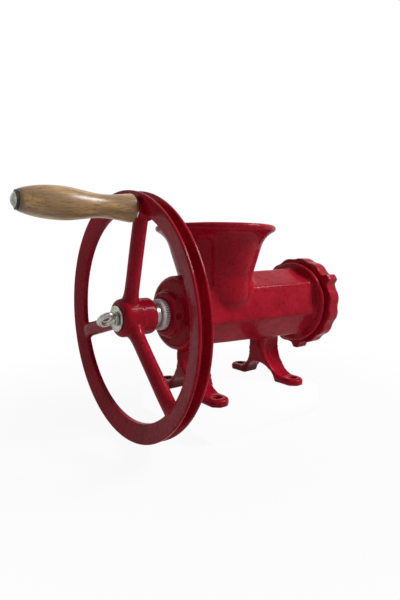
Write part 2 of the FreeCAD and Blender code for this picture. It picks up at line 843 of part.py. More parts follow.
os.makedirs("parts", exist_ok=True)
for piece in pieces:
    shape = piece()
    if len(shape.Solids) == 1:
        shape = shape.Solids[0]
    print(piece.__name__, len(shape.Solids), shape.isValid(), round(shape.Volume / 1000.0, 2), "cm3")
    shape.exportStep("parts/" + piece.__name__ + ".step")
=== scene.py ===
"""Looks of a hand crank meat grinder with a flywheel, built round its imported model. Metres, +Z up."""

import json
import math

import bmesh
import bpy
from bpy.props import FloatProperty, FloatVectorProperty, IntProperty, PointerProperty
from mathutils import Matrix, Vector, noise


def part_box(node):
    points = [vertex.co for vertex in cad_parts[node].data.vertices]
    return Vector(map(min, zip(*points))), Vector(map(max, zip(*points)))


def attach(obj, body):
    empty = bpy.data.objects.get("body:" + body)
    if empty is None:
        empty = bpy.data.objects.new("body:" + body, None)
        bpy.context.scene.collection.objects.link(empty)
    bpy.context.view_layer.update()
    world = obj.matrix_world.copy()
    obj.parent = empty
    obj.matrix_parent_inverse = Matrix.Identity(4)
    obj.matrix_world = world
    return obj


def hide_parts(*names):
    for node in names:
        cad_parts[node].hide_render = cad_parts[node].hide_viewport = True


bl_info = {
    "name": "Hand crank meat grinder",
    "version": (1, 0, 0),
    "blender": (4, 5, 0),
    "location": "View3D > Sidebar > Grinder",
    "description": "Builds the painted castings, fittings and wooden grip of a bench meat grinder",
    "category": "Object",
}

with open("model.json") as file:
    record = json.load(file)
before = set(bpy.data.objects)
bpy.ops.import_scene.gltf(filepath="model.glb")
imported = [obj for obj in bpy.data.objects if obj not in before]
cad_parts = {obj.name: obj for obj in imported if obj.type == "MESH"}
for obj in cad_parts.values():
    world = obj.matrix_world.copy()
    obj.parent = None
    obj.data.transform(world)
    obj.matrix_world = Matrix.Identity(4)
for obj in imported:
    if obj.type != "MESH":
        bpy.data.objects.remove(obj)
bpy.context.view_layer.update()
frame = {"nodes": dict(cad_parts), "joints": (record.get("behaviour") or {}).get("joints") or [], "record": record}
MM = 0.001
JOINTS = {joint["name"]: joint for joint in frame["joints"]}
SHAFT_Z = JOINTS["wheel_turn"]["pos_m"][2]
GRIP_Y, GRIP_Z = JOINTS["grip_spin"]["pos_m"][1:]
MERGE_DISTANCE = 1e-6
SHARP_ANGLE = math.radians(38.0)
FULL_TURN = 2.0 * math.pi
SMOOTHING = 0.5
THREAD_STEPS = 72
RIDGE_SIDES = 8
SENSOR_WIDTH = 36.0
CLIP_START = 0.01
WHITE = (1.0, 1.0, 1.0, 1.0)
MIX_FIRST, MIX_SECOND, MIX_RESULT = 6, 7, 2    # colour sockets of a Mix node


def length(name, text, millimetres):
    """Length property, given in millimetres."""
    return FloatProperty(name=name, description=text, default=millimetres * MM, unit="LENGTH", precision=5)


def number(name, text, value, unit="NONE"):
    return FloatProperty(name=name, description=text, default=value, unit=unit)


def angle_of(name, text, degrees):
    """Angle property, given in degrees."""
    return FloatProperty(name=name, description=text, default=math.radians(degrees), subtype="ANGLE")


def share(name, text, value):
    return FloatProperty(name=name, description=text, default=value, min=0.0, soft_max=1.0,
                         subtype="FACTOR")


def count(name, text, value):
    return IntProperty(name=name, description=text, default=value, min=1)


def triple(name, text, value, subtype):
    """Place or direction in the frame."""
    return FloatVectorProperty(name=name, description=text, default=value, size=3, subtype=subtype)


def colour(name, text, value):
    return FloatVectorProperty(name=name, description=text, default=value, size=3, min=0.0, max=1.0,
                               subtype="COLOR")


class CastingSettings(bpy.types.PropertyGroup):
    grain: length("Casting grain", "Size of the cells that soften the casting's corners", 1.8)
    passes: count("Softening passes", "Smoothing passes over the casting", 4)
    fillet_passes: count("Fillet passes", "Smoothing passes that show where a join is hollow", 105)
    fillet_start: length("Fillet start", "Hollowness at which a fillet begins", 0.5)
    fillet_full: length("Fillet full", "Hollowness that is filled outright", 1.3)
    fillet_floor: length("Fillet floor", "Height over the bench at which fillets begin", 14.0)
    fillet_front: length("Fillet front", "Station at which fillets end", 115.0)
    barrel_inside: length("Barrel inside", "Radius that lies in the barrel's wall", 38.0)
    hopper_x: length("Hopper station", "Station of the hopper's axis", -29.5)
    hopper_inside: length("Hopper inside", "Radius that lies in the hopper's wall", 45.0)
    hopper_z: length("Hopper height", "Height at which the hopper's wall begins", 140.0)
    waviness: length("Waviness", "Unevenness left by the sand mould", 0.22)
    wave_scale: number("Wave scale", "Waves per metre of the unevenness", 42.0)
    collar_x: length("Collar face", "Station of the collar's front face", 127.0)
    thread_root: length("Thread root radius", "Radius of the nose between its threads", 52.9)
    thread_ridge: length("Thread ridge", "Radius of one turn of the nose thread", 0.95)
    thread_pitch: length("Thread pitch", "Travel of the ring nut in one turn", 3.0)
    nose_length: length("Nose length", "Length of the threaded nose", 20.0)
    seat_radius: length("Plate seat radius", "Bore that takes the hole plate", 49.4)


class NutSettings(bpy.types.PropertyGroup):
    root_radius: length("Root radius", "Radius between the lobes", 64.2)
    lobe_radius: length("Lobe radius", "Rounding of one lobe", 20.0)
    tip_radius: length("Tip radius", "Radius over the lobes", 66.4)
    lug_tip: length("Lug radius", "Radius over the lugs", 72.0)
    lug_width: length("Lug width", "Width of a lug at its root", 18.0)
    lug_tip_width: length("Lug tip width", "Width of a lug at its tip", 6.0)
    lobes: count("Lobes", "Lobes round the ring, lugs included", 15)
    lugs: count("Lugs", "Lugs round the ring", 3)
    lug_angle: angle_of("Lug angle", "Turn of the first lug from +Y towards +Z", 146.5)
    segments: count("Segments", "Divisions round the ring", 900)
    blend: length("Blend", "Softness of the valleys between the lobes", 1.2)
    depth: length("Depth", "Depth under the root that moves with the lobes", 4.8)
    bore: length("Bore", "Bore over the threaded nose", 54.1)
    mouth: length("Mouth radius", "Radius of the opening in front of the hole plate", 42.0)
    lip: length("Lip", "Thickness of the lip that holds the hole plate", 4.5)
    rear_row: length("Rear row", "Depth of the row on the rear face where the lobes fade out", 4.5)
    front_row: length("Front row", "Depth of the row on the front face where the lobes fade out", 5.0)
    rim_row: length("Rim rows", "Distance of the rows on the rim from both faces", 7.0)


class WheelSettings(bpy.types.PropertyGroup):
    radius: length("Wheel radius", "Outer radius of the rim", 140.6)
    rim_depth: length("Rim depth", "Depth of the rim's wedge section", 21.3)
    rim_half: length("Rim half width", "Half width of the rim outside", 9.0)
    rim_inner_half: length("Rim inner half width", "Half width of the rim inside", 3.0)
    groove_half: length("Groove half width", "Half width of the belt groove at its mouth", 5.4)
    groove_floor: length("Groove floor half width", "Half width of the belt groove at its floor", 3.0)
    groove_depth: length("Groove depth", "Depth of the belt groove", 9.0)
    rim_x: length("Rim station", "Middle of the rim along the shaft", -156.6)
    spoke_x: length("Spoke station", "Middle of the spokes along the shaft", -157.3)
    spoke_width: length("Spoke width", "Width of a spoke round the wheel", 18.0)
    spoke_thickness: length("Spoke thickness", "Thickness of a spoke along the shaft", 15.5)
    spokes: count("Spokes", "Number of spokes", 3)
    spoke_angle: angle_of("Spoke angle", "Turn of the first spoke from +Y towards +Z", 105.0)
    spoke_root: length("Spoke root", "Distance of a spoke's inner end from the hub's bore", 2.0)
    spoke_sunk: length("Spoke sunk", "Depth of a spoke's outer end in the rim", 5.5)
    hub_flare: length("Hub flare", "Length over which a spoke flares into the hub", 5.0)
    rim_flare: length("Rim flare", "Length over which a spoke flares into the rim", 5.5)
    hub_widening: share("Widening at the hub", "Share by which a spoke widens at the hub", 0.30)
    rim_widening: share("Widening at the rim", "Share by which a spoke widens at the rim", 0.55)
    hub_thickening: share("Thickening at the hub", "Share by which a spoke thickens at the hub", 0.20)
    rim_thinning: share("Thinning at the rim", "Share by which a spoke thins at the rim", 0.42)
    hub_radius: length("Hub radius", "Radius of the hub at its ends", 21.4)
    hub_swell: length("Hub swell", "Extra radius of the hub under the spokes", 0.6)
    hub_seam: length("Hub seam", "Distance of the mould seam behind the spokes", 10.5)
    hub_shoulder: length("Hub shoulder", "Distance of the swell's edge in front of the spokes", 6.0)
    bore: length("Hub bore", "Bore for the tail of the shaft", 12.05)
    boss_radius: length("Handle boss radius", "Radius of the boss that carries the handle", 12.0)
    boss_clear: length("Handle boss clearance", "Distance of the boss from the floor of the groove", 0.4)
    grain: length("Casting grain", "Size of the cells that blend the spokes", 0.9)
    passes: count("Softening passes", "Smoothing passes over hub and spokes", 5)
    rim_waves: share("Rim waves", "Share of the casting's unevenness on the rim", 0.25)
    spoke_waves: share("Spoke waves", "Share of the casting's unevenness on hub and spokes", 0.6)


class GripSettings(bpy.types.PropertyGroup):
    base_radius: length("Base radius", "Radius at the wheel", 15.0)
    waist_radius: length("Waist radius", "Smallest radius", 11.6)
    waist_at: length("Waist distance", "Distance of the waist from the base", 33.0)
    belly_radius: length("Belly radius", "Largest radius", 15.8)
    belly_at: length("Belly distance", "Distance of the belly from the base", 75.0)
    end_radius: length("End radius", "Radius at the bolt head", 9.6)
    end_slope: number("End slope", "Fall of the outline at the bolt head", -0.397)
    base_round: length("Base rounding", "Rounding at the wheel", 2.8)
    edge_round: length("End rounding", "Rounding at the bolt head", 1.6)
    head_radius: length("Bolt head radius", "Radius of the spindle's domed head", 6.9)
    head_rim: length("Bolt head rim", "Straight rim under the dome", 0.7)
    shank: length("Shank radius", "Radius of the spindle", 4.95)
    thread_root: length("Thread root radius", "Radius of the spindle between its threads", 4.5)
    thread_pitch: length("Thread pitch", "Pitch of the spindle's thread", 1.5)
    nut_width: length("Nut width", "Width of the nut across its flats", 14.0)
    nut_chamfer: length("Nut chamfer", "Depth of the turned chamfer on the nut's corners", 0.8)
    nut_face: share("Nut face", "Radius of the nut's face as a share of half its width", 0.98)
    bore: length("Bore", "Bore for the spindle", 5.05)


class BushSettings(bpy.types.PropertyGroup):
    radius: length("Rim radius", "Radius over the ribs", 18.8)
    rib_depth: length("Rib depth", "Height of a rib", 1.5)
    ribs: count("Ribs", "Ribs round the rim", 40)
    rib_steps: count("Rib steps", "Divisions across one rib", 12)
    rib_round: length("Rib rounding", "Rounding of one rib", 0.8)
    front: length("Front ring", "Length of the plain ring in front of the ribs", 3.2)
    sleeve: length("Sleeve radius", "Radius of the sleeve in the boss", 17.95)
    bore: length("Bore", "Bore for the shaft journal", 15.05)
    flange: length("Rim length", "Length of the ribbed rim", 8.45)
    front_lap: length("Front lap", "Overlap of the front ring and the ribs", 0.3)
    sleeve_lap: length("Sleeve lap", "Overlap of the sleeve and the ribs", 0.4)
    front_slope: length("Front slope", "Fall of the front ring towards the wheel", 0.5)
    # Where the painted shadow between the ribs begins and where it is full, as shares of a rib's height.
    shadow_edge: share("Grease edge", "Share of a rib's height that stays clean", 0.2)
    shadow_full: share("Grease full", "Share of a rib's height under which the grease is thick", 0.7)
    blend: length("Blend", "Softness of the valleys between the ribs", 0.1)


class EyeSettings(bpy.types.PropertyGroup):
    grain: length("Forging grain", "Size of the cells that soften the forging", 0.5)
    passes: count("Softening passes", "Smoothing passes over the forging", 7)
    thread_root: length("Thread root radius", "Radius of the bolt between its threads", 5.45)
    thread_pitch: length("Thread pitch", "Pitch of the bolt's thread", 1.75)
    thread_ridge: length("Thread ridge", "Radius of one turn of the thread", 0.5)
    thread_start: length("Thread start", "Distance of the thread from the washer", 0.8)
    plain: length("Plain length", "Length in the hole that has no thread", 2.0)
    washer_radius: length("Washer radius", "Radius of the dished washer", 14.65)
    washer_bore: length("Washer bore", "Radius of the washer's hole", 6.1)
    slope_radius: length("Slope radius", "Radius at which the washer's slope steepens", 12.2)
    slope_depth: length("Slope depth", "Depth at which the washer's slope steepens", 0.5)
    dish_radius: length("Dish radius", "Radius of the washer's flat middle", 9.5)
    dish_depth: length("Dish depth", "Depth of the washer's flat middle", 1.2)


class FinishSettings(bpy.types.PropertyGroup):
    enamel: colour("Enamel", "Red enamel where it lies thick", (0.33, 0.0035, 0.016))
    # Thin enamel in random patches, also used as a painted highlight on convex edges.
    enamel_thin_and_highlight: colour("Thin enamel", "Red enamel on edges and high spots", (0.42, 0.008, 0.025))
    # Deep enamel in random mottling, also used as painted shade in creases.
    enamel_deep_and_shade: colour("Deep enamel", "Red enamel in hollows", (0.13, 0.001, 0.005))
    wood_pale: colour("Pale wood", "Early wood under the varnish", (0.60, 0.345, 0.115))
    wood_dark: colour("Dark wood", "Late wood under the varnish", (0.26, 0.135, 0.043))
    # Pores and streaks, also used as the colour of the painted shade on the grip's outer end.
    wood_pore_and_end_shade: colour("Wood pores", "Pores and streaks", (0.10, 0.056, 0.022))
    wood_pith: triple("Pith", "Place of the pith from the grip's axis", (0.0, 0.004, -0.011), "TRANSLATION")
    # Painted shade on the grip's outer end: its length, and the length where it is darkest.
    end_shade: length("End stain", "Length of the dark end of the grip", 4.5)
    end_shade_full: length("End stain full", "Length of the darkest end of the grip", 1.0)
    zinc: colour("Zinc", "Bright zinc plating", (0.40, 0.40, 0.365))
    # Tarnish in random clouds, also used as painted shade in creases.
    zinc_dull_and_shade: colour("Dull zinc", "Tarnish on the plating", (0.19, 0.19, 0.165))
    steel: colour("Steel", "Machined steel", (0.42, 0.42, 0.41))
    steel_worn: colour("Worn steel", "Darker steel between tool marks", (0.22, 0.22, 0.215))
    dark_steel: colour("Dark steel", "Dull dark washer", (0.020, 0.019, 0.017))
    dark_steel_worn: colour("Worn dark steel", "Rubbed spots on the dark washer", (0.050, 0.047, 0.042))
    nylon: colour("Nylon", "Moulded nylon", (0.80, 0.79, 0.77))
    # Random soiling, also used as painted shade in creases and painted shadow between the bush's ribs.
    nylon_soiled_and_shade: colour("Soiled nylon", "Grease in the ribs", (0.13, 0.12, 0.11))
    fibre: colour("Fibre", "Pressed fibre washer", (0.30, 0.10, 0.05))
    # Oil-soaked fibre in random patches, also used as painted shade in creases.
    fibre_dark_and_shade: colour("Dark fibre", "Fibre soaked with oil", (0.17, 0.055, 0.03))


class StageSettings(bpy.types.PropertyGroup):
    floor_colour: colour("Floor", "Pale floor and plinth", (0.70, 0.70, 0.70))
    floor_mottle: share("Floor mottle", "Brightness of the floor's darker clouds", 0.97)
    floor_z: length("Floor height", "Height of the floor under the wheel", -35.0)
    floor_reach: length("Floor reach", "Half side of the floor", 6000.0)
    plinth_x: length("Plinth half length", "Half length of the plinth under the feet", 97.0)
    plinth_y: length("Plinth half width", "Half width of the plinth under the feet", 78.0)
    plinth_round: length("Plinth rounding", "Rounding of the plinth's edges", 3.0)
    floor_glow: share("Floor glow", "Share of white that the camera sees in the floor near the feet", 0.93)
    plinth_glow: share("Plinth glow", "Share of white that the camera sees in the plinth", 0.955)
    fade_start: length("Fade start", "Distance at which the floor begins to fade to white", 180.0)
    fade_end: length("Fade end", "Distance at which the floor is white", 560.0)
    ambient: share("Ambient light", "Strength of the light from all round", 0.18)
    key_power: number("Key light", "Power of the key light", 26.0, "POWER")
    key_side: length("Key light side", "Side of the key light", 550.0)
    key_place: triple("Key light place", "Place of the key light", (0.95, -0.78, 1.25), "TRANSLATION")
    fill_power: number("Fill light", "Power of the fill light", 0.9, "POWER")
    fill_side: length("Fill light side", "Side of the fill light", 1200.0)
    fill_place: triple("Fill light place", "Place of the fill light", (-0.9, 0.9, 0.8), "TRANSLATION")
    lamp_target: triple("Lamp target", "Point that both lights face", (-0.05, 0.0, 0.10), "TRANSLATION")
    lens: number("Lens", "Focal length on a 36 mm sensor", 25.98, "CAMERA")
    camera_place: triple("Camera place", "Place of the camera", (-0.3945, -0.4336, 0.1787), "TRANSLATION")
    camera_right: triple("Camera right", "Direction across the picture", (0.78675, -0.61727, 0.00248), "XYZ")
    camera_down: triple("Camera down", "Direction down the picture", (-0.06333, -0.08471, -0.99439), "XYZ")


def settings(context, name):
    return getattr(context.scene, "grinder_" + name)


# Meshes


def mesh_from(name, vertices, faces):
    mesh = bpy.data.meshes.new(name)
    mesh.from_pydata(vertices, [], faces)
    mesh.validate()
    return mesh


def outward(mesh):
    """Turns the faces of closed shells outwards."""
    bm = bmesh.new()
    bm.from_mesh(mesh)
    bmesh.ops.recalc_face_normals(bm, faces=bm.faces[:])
    bm.to_mesh(mesh)
    bm.free()
    return mesh


def soften(corners, steps=4):
    """Outline with its corners rounded, from (x, radius, rounding) corners."""
    points = []
    for index, (x, radius, rounding) in enumerate(corners):
        here = Vector((x, radius))
        if rounding <= 0.0:
            points.append(here)
            continue
        before = (Vector(corners[index - 1][:2]) - here).normalized()
        after = (Vector(corners[(index + 1) % len(corners)][:2]) - here).normalized()
        half = 0.5 * before.angle(after)
        reach = rounding / math.tan(half)
        centre = here + (before + after).normalized() * (rounding / math.sin(half))
        start, end = here + before * reach, here + after * reach
        for step in range(steps + 1):
            spoke = start.lerp(end, step / steps) - centre
            points.append(centre + spoke.normalized() * rounding)
    return [tuple(point) for point in points]


def ring_mesh(name, outline, segments, y=0.0, z=SHAFT_Z):
    """Closed ring turned about a line along X, from a closed (x, radius) outline."""
    vertices, faces, size = [], [], len(outline)
    for turn in range(segments):
        angle = FULL_TURN * turn / segments
        for x, radius in outline:
            vertices.append((x, y + radius * math.cos(angle), z + radius * math.sin(angle)))
    for turn in range(segments):
        here, there = turn * size, (turn + 1) % segments * size
        for index in range(size):
            follower = (index + 1) % size
            faces.append((here + index, here + follower, there + follower, there + index))
    return outward(mesh_from(name, vertices, faces))


def lathe_mesh(name, outline, segments, y, z):
    """Solid turned about a line along X, from an (x, radius) outline that starts and ends on the line."""
    mesh = ring_mesh(name, outline, segments, y, z)
    bm = bmesh.new()
    bm.from_mesh(mesh)
    bmesh.ops.remove_doubles(bm, verts=bm.verts[:], dist=MERGE_DISTANCE)
    bmesh.ops.delete(bm, geom=[edge for edge in bm.edges if not edge.link_faces], context="EDGES")
    bm.to_mesh(mesh)
    bm.free()
    return outward(mesh)


def joined(name, meshes):
    bm = bmesh.new()
    for mesh in meshes:
        bm.from_mesh(mesh)
        bpy.data.meshes.remove(mesh)
    whole = bpy.data.meshes.new(name)
    bm.to_mesh(whole)
    bm.free()
    return whole


def merged_copy(node):
    """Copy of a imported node's mesh with its loose triangles merged."""
    bm = bmesh.new()
    bm.from_mesh(frame["nodes"][node].data)
    bmesh.ops.remove_doubles(bm, verts=bm.verts[:], dist=MERGE_DISTANCE)
    mesh = bpy.data.meshes.new(node + "_copy")
    bm.to_mesh(mesh)
    bm.free()
    return mesh


def evaluated(carrier):
    """Plain mesh of an object with its modifiers applied; the carrier object goes."""
    graph = bpy.context.evaluated_depsgraph_get()
    graph.update()
    mesh = bpy.data.meshes.new_from_object(carrier.evaluated_get(graph), depsgraph=graph)
    carrier.modifiers.clear()
    old = carrier.data
    bpy.data.objects.remove(carrier)
    bpy.data.meshes.remove(old)
    return mesh


def carrier_for(mesh):
    carrier = bpy.data.objects.new(mesh.name, mesh)
    bpy.context.scene.collection.objects.link(carrier)
    return carrier


def add_smoothing(carrier, passes):
    soft = carrier.modifiers.new("Soften", "SMOOTH")
    soft.factor = SMOOTHING
    soft.iterations = passes


def softened(mesh, passes):
    """Mesh after plain smoothing; its vertices keep their order."""
    carrier = carrier_for(mesh)
    add_smoothing(carrier, passes)
    return evaluated(carrier)


def settled(mesh, cell, passes):
    """One shell with blended joins and softened corners, as a casting has."""
    carrier = carrier_for(mesh)
    shell = carrier.modifiers.new("Blend", "REMESH")
    shell.mode = "VOXEL"
    shell.voxel_size = cell
    add_smoothing(carrier, passes)
    return evaluated(carrier)


def waved(mesh, height, per_metre):
    """Low waves in the surface, as sand casting leaves them."""
    moves = [vertex.normal * (height * noise.noise(vertex.co * per_metre)) for vertex in mesh.vertices]
    for vertex, move in zip(mesh.vertices, moves):
        vertex.co += move
    mesh.update()
    return mesh


def radius_at(place, y=0.0, z=SHAFT_Z):
    return math.hypot(place.y - y, place.z - z)


def set_radius(place, wanted, y=0.0, z=SHAFT_Z):
    """Moves a point out or in to a distance from a line along X."""
    ratio = wanted / radius_at(place, y, z)
    place.y = y + (place.y - y) * ratio
    place.z = z + (place.z - z) * ratio


def add_piece(name, mesh, body, material, replaced=(), sharp=SHARP_ANGLE):
    """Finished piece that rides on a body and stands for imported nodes."""
    mesh.name = name
    mesh.materials.clear()
    mesh.materials.append(material)
    mesh.shade_smooth()
    if sharp is not None:
        mesh.set_sharp_from_angle(angle=sharp)
    piece = bpy.data.objects.new(name, mesh)
    bpy.context.scene.collection.objects.link(piece)
    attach(piece, body)
    if replaced:
        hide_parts(*replaced)


# Geometry node trees


def new_tree(name, sizes):
    """Empty geometry tree with named sizes and a material as its inputs."""
    tree = bpy.data.node_groups.new(name, "GeometryNodeTree")
    sockets = [("Geometry", "Geometry")] + [(size, "Float") for size in sizes] + [("Material", "Material")]
    for socket_name, kind in sockets:
        tree.interface.new_socket(socket_name, in_out="INPUT", socket_type="NodeSocket" + kind)
    tree.interface.new_socket("Geometry", in_out="OUTPUT", socket_type="NodeSocketGeometry")
    return tree, tree.nodes.new("NodeGroupInput").outputs, tree.nodes.new("NodeGroupOutput").inputs


def make(tree, kind, inputs=None, **attributes):
    """Node with its attributes set and its inputs set or linked."""
    node = tree.nodes.new(kind)
    for name, value in attributes.items():
        setattr(node, name, value)
    for name, value in (inputs or {}).items():
        if isinstance(value, bpy.types.NodeSocket):
            tree.links.new(value, node.inputs[name])
        else:
            node.inputs[name].default_value = value
    return node


def calc(tree, operation, *terms):
    """Result of one step of arithmetic on numbers or sockets."""
    return make(tree, "ShaderNodeMath", dict(enumerate(terms)), operation=operation).outputs[0]


def finish_tree(tree, geometry, material, output):
    real = make(tree, "GeometryNodeRealizeInstances", {"Geometry": geometry})
    dressed = make(tree, "GeometryNodeSetMaterial", {"Geometry": real.outputs[0], "Material": material})
    tree.links.new(dressed.outputs[0], output)


def grown(mesh, tree, values):
    """Plain mesh that a geometry tree makes from a mesh and named values."""
    carrier = carrier_for(mesh)
    modifier = carrier.modifiers.new("Tree", "NODES")
    modifier.node_group = tree
    for item in tree.interface.items_tree:
        if item.in_out == "INPUT" and item.name in values:
            modifier[item.identifier] = values[item.name]
    carrier.update_tag()
    return evaluated(carrier)


def thread_tree():
    """One round ridge wound along X as a screw thread."""
    tree, given, output = new_tree("Thread", (
        "Start X", "Length", "Pitch", "Radius", "Ridge Radius", "Axis Y", "Axis Z"))
    spiral = make(tree, "GeometryNodeCurveSpiral", {
        "Resolution": THREAD_STEPS, "Rotations": calc(tree, "DIVIDE", given["Length"], given["Pitch"]),
        "Start Radius": given["Radius"], "End Radius": given["Radius"], "Height": given["Length"]})
    place = make(tree, "ShaderNodeCombineXYZ", {
        "X": given["Start X"], "Y": given["Axis Y"], "Z": given["Axis Z"]})
    turned = make(tree, "GeometryNodeTransform", {
        "Geometry": spiral.outputs[0], "Translation": place.outputs[0],
        "Rotation": (0.0, 0.25 * FULL_TURN, 0.0)})
    section = make(tree, "GeometryNodeCurvePrimitiveCircle", {
        "Resolution": RIDGE_SIDES, "Radius": given["Ridge Radius"]})
    ridge = make(tree, "GeometryNodeCurveToMesh", {
        "Curve": turned.outputs[0], "Profile Curve": section.outputs[0], "Fill Caps": True})
    finish_tree(tree, ridge.outputs[0], given["Material"], output["Geometry"])
    return tree


def thread_mesh(name, start, run, pitch, radius, ridge, material, y=0.0, z=SHAFT_Z):
    """Screw thread about a line along X."""
    return grown(bpy.data.meshes.new(name), thread_tree(), {
        "Start X": start, "Length": run, "Pitch": pitch, "Radius": radius, "Ridge Radius": ridge,
        "Axis Y": y, "Axis Z": z, "Material": material})


def lobe_tree():
    """Pushes the outside of a plain ring out into round lobes and lugs with sloping flanks."""
    tree, given, output = new_tree("Lobes", (
        "Root Radius", "Lobe Radius", "Tip Radius", "Lug Radius", "Lug Half Width", "Lug Tip Half Width",
        "Lobe Step", "Lug Step", "Start Angle", "Axis Z", "Blend", "Depth"))
    position = make(tree, "GeometryNodeInputPosition").outputs[0]
    parts = make(tree, "ShaderNodeSeparateXYZ", {"Vector": position}).outputs
    height = calc(tree, "SUBTRACT", parts["Z"], given["Axis Z"])
    spoke = make(tree, "ShaderNodeCombineXYZ", {"Y": parts["Y"], "Z": height}).outputs[0]
    radius = make(tree, "ShaderNodeVectorMath", {0: spoke}, operation="LENGTH").outputs["Value"]
    angle = calc(tree, "SUBTRACT", calc(tree, "ARCTAN2", height, parts["Y"]), given["Start Angle"])

    def nearest(step):
        """Angle from the nearest of the places that lie one step apart."""
        half = calc(tree, "MULTIPLY", step, 0.5)
        return calc(tree, "WRAP", angle, half, calc(tree, "MULTIPLY", half, -1.0))

    near_lobe = nearest(given["Lobe Step"])
    centre = calc(tree, "SUBTRACT", given["Tip Radius"], given["Lobe Radius"])
    along = calc(tree, "MULTIPLY", centre, calc(tree, "COSINE", near_lobe))
    side = calc(tree, "MULTIPLY", centre, calc(tree, "SINE", near_lobe))
    reach = calc(tree, "MULTIPLY", given["Lobe Radius"], given["Lobe Radius"])
    room = calc(tree, "SUBTRACT", reach, calc(tree, "MULTIPLY", side, side))
    arc = calc(tree, "ADD", along, calc(tree, "SQRT", calc(tree, "MAXIMUM", room, 0.0)))
    rise = calc(tree, "SUBTRACT", arc, given["Root Radius"])
    lobe = calc(tree, "SMOOTH_MAX", rise, 0.0, given["Blend"])
    off_lug = calc(tree, "ABSOLUTE", nearest(given["Lug Step"]))
    lug_share = make(tree, "ShaderNodeMapRange", {
        "Value": calc(tree, "MULTIPLY", given["Root Radius"], off_lug),
        "From Min": given["Lug Tip Half Width"], "From Max": given["Lug Half Width"],
        "To Min": 1.0, "To Max": 0.0}, interpolation_type="SMOOTHSTEP").outputs[0]
    lug_height = calc(tree, "SUBTRACT", given["Lug Radius"], given["Root Radius"])
    lug = calc(tree, "MULTIPLY", lug_share, lug_height)
    push = calc(tree, "SMOOTH_MAX", lobe, lug, given["Blend"])
    inner = calc(tree, "SUBTRACT", given["Root Radius"], given["Depth"])
    weight = make(tree, "ShaderNodeMapRange", {
        "Value": radius, "From Min": inner, "From Max": given["Root Radius"]}).outputs[0]
    outwards = make(tree, "ShaderNodeVectorMath", {0: spoke}, operation="NORMALIZE").outputs[0]
    move = make(tree, "ShaderNodeVectorMath", {
        0: outwards, "Scale": calc(tree, "MULTIPLY", push, weight)}, operation="SCALE").outputs[0]
    pushed = make(tree, "GeometryNodeSetPosition", {"Geometry": given["Geometry"], "Offset": move})
    finish_tree(tree, pushed.outputs[0], given["Material"], output["Geometry"])
    return tree


# Materials


def start_material(name):
    """Node material with its shader and its object coordinates."""
    material = bpy.data.materials.new(name)
    material.use_nodes = True
    tree = material.node_tree
    shader = tree.nodes["Principled BSDF"]
    return material, tree, shader, make(tree, "ShaderNodeTexCoord").outputs["Object"]


def mapped(tree, coordinates, offset=(0.0, 0.0, 0.0), scale=(1.0, 1.0, 1.0)):
    return make(tree, "ShaderNodeMapping", {
        "Vector": coordinates, "Location": offset, "Scale": scale}).outputs[0]


def noise_at(tree, coordinates, scale, detail=2.0, roughness=0.5):
    return make(tree, "ShaderNodeTexNoise", {
        "Vector": coordinates, "Scale": scale, "Detail": detail, "Roughness": roughness}).outputs["Fac"]


def ranged(tree, value, low, high, first=0.0, last=1.0):
    """Number that eases from first to last while a value goes from low to high."""
    return make(tree, "ShaderNodeMapRange", {
        "Value": value, "From Min": low, "From Max": high, "To Min": first, "To Max": last},
        interpolation_type="SMOOTHSTEP").outputs[0]


def blend(tree, factor, first, second):
    """Colour mixed between two colours or colour sockets."""
    node = make(tree, "ShaderNodeMix", {0: factor}, data_type="RGBA")
    for index, value in ((MIX_FIRST, first), (MIX_SECOND, second)):
        if isinstance(value, bpy.types.NodeSocket):
            tree.links.new(value, node.inputs[index])
        else:
            node.inputs[index].default_value = (*value, 1.0)
    return node.outputs[MIX_RESULT]


def raised(tree, height, strength, distance, under=None):
    """Normal of a relief, on top of another relief where one is given."""
    inputs = {"Height": height, "Strength": strength, "Distance": distance}
    if under is not None:
        inputs["Normal"] = under
    return make(tree, "ShaderNodeBump", inputs).outputs[0]


def drive(tree, shader, **inputs):
    """Links shader inputs, or sets those that are plain numbers."""
    for name, value in inputs.items():
        socket = shader.inputs[name.replace("_", " ")]
        if isinstance(value, bpy.types.NodeSocket):
            tree.links.new(value, socket)
        else:
            socket.default_value = value


def painted_crease_shade(tree, most):
    """Share of painted shade that grows in creases and recesses."""
    bend = make(tree, "ShaderNodeNewGeometry").outputs["Pointiness"]
    return ranged(tree, bend, low=0.490, high=0.43, last=most)


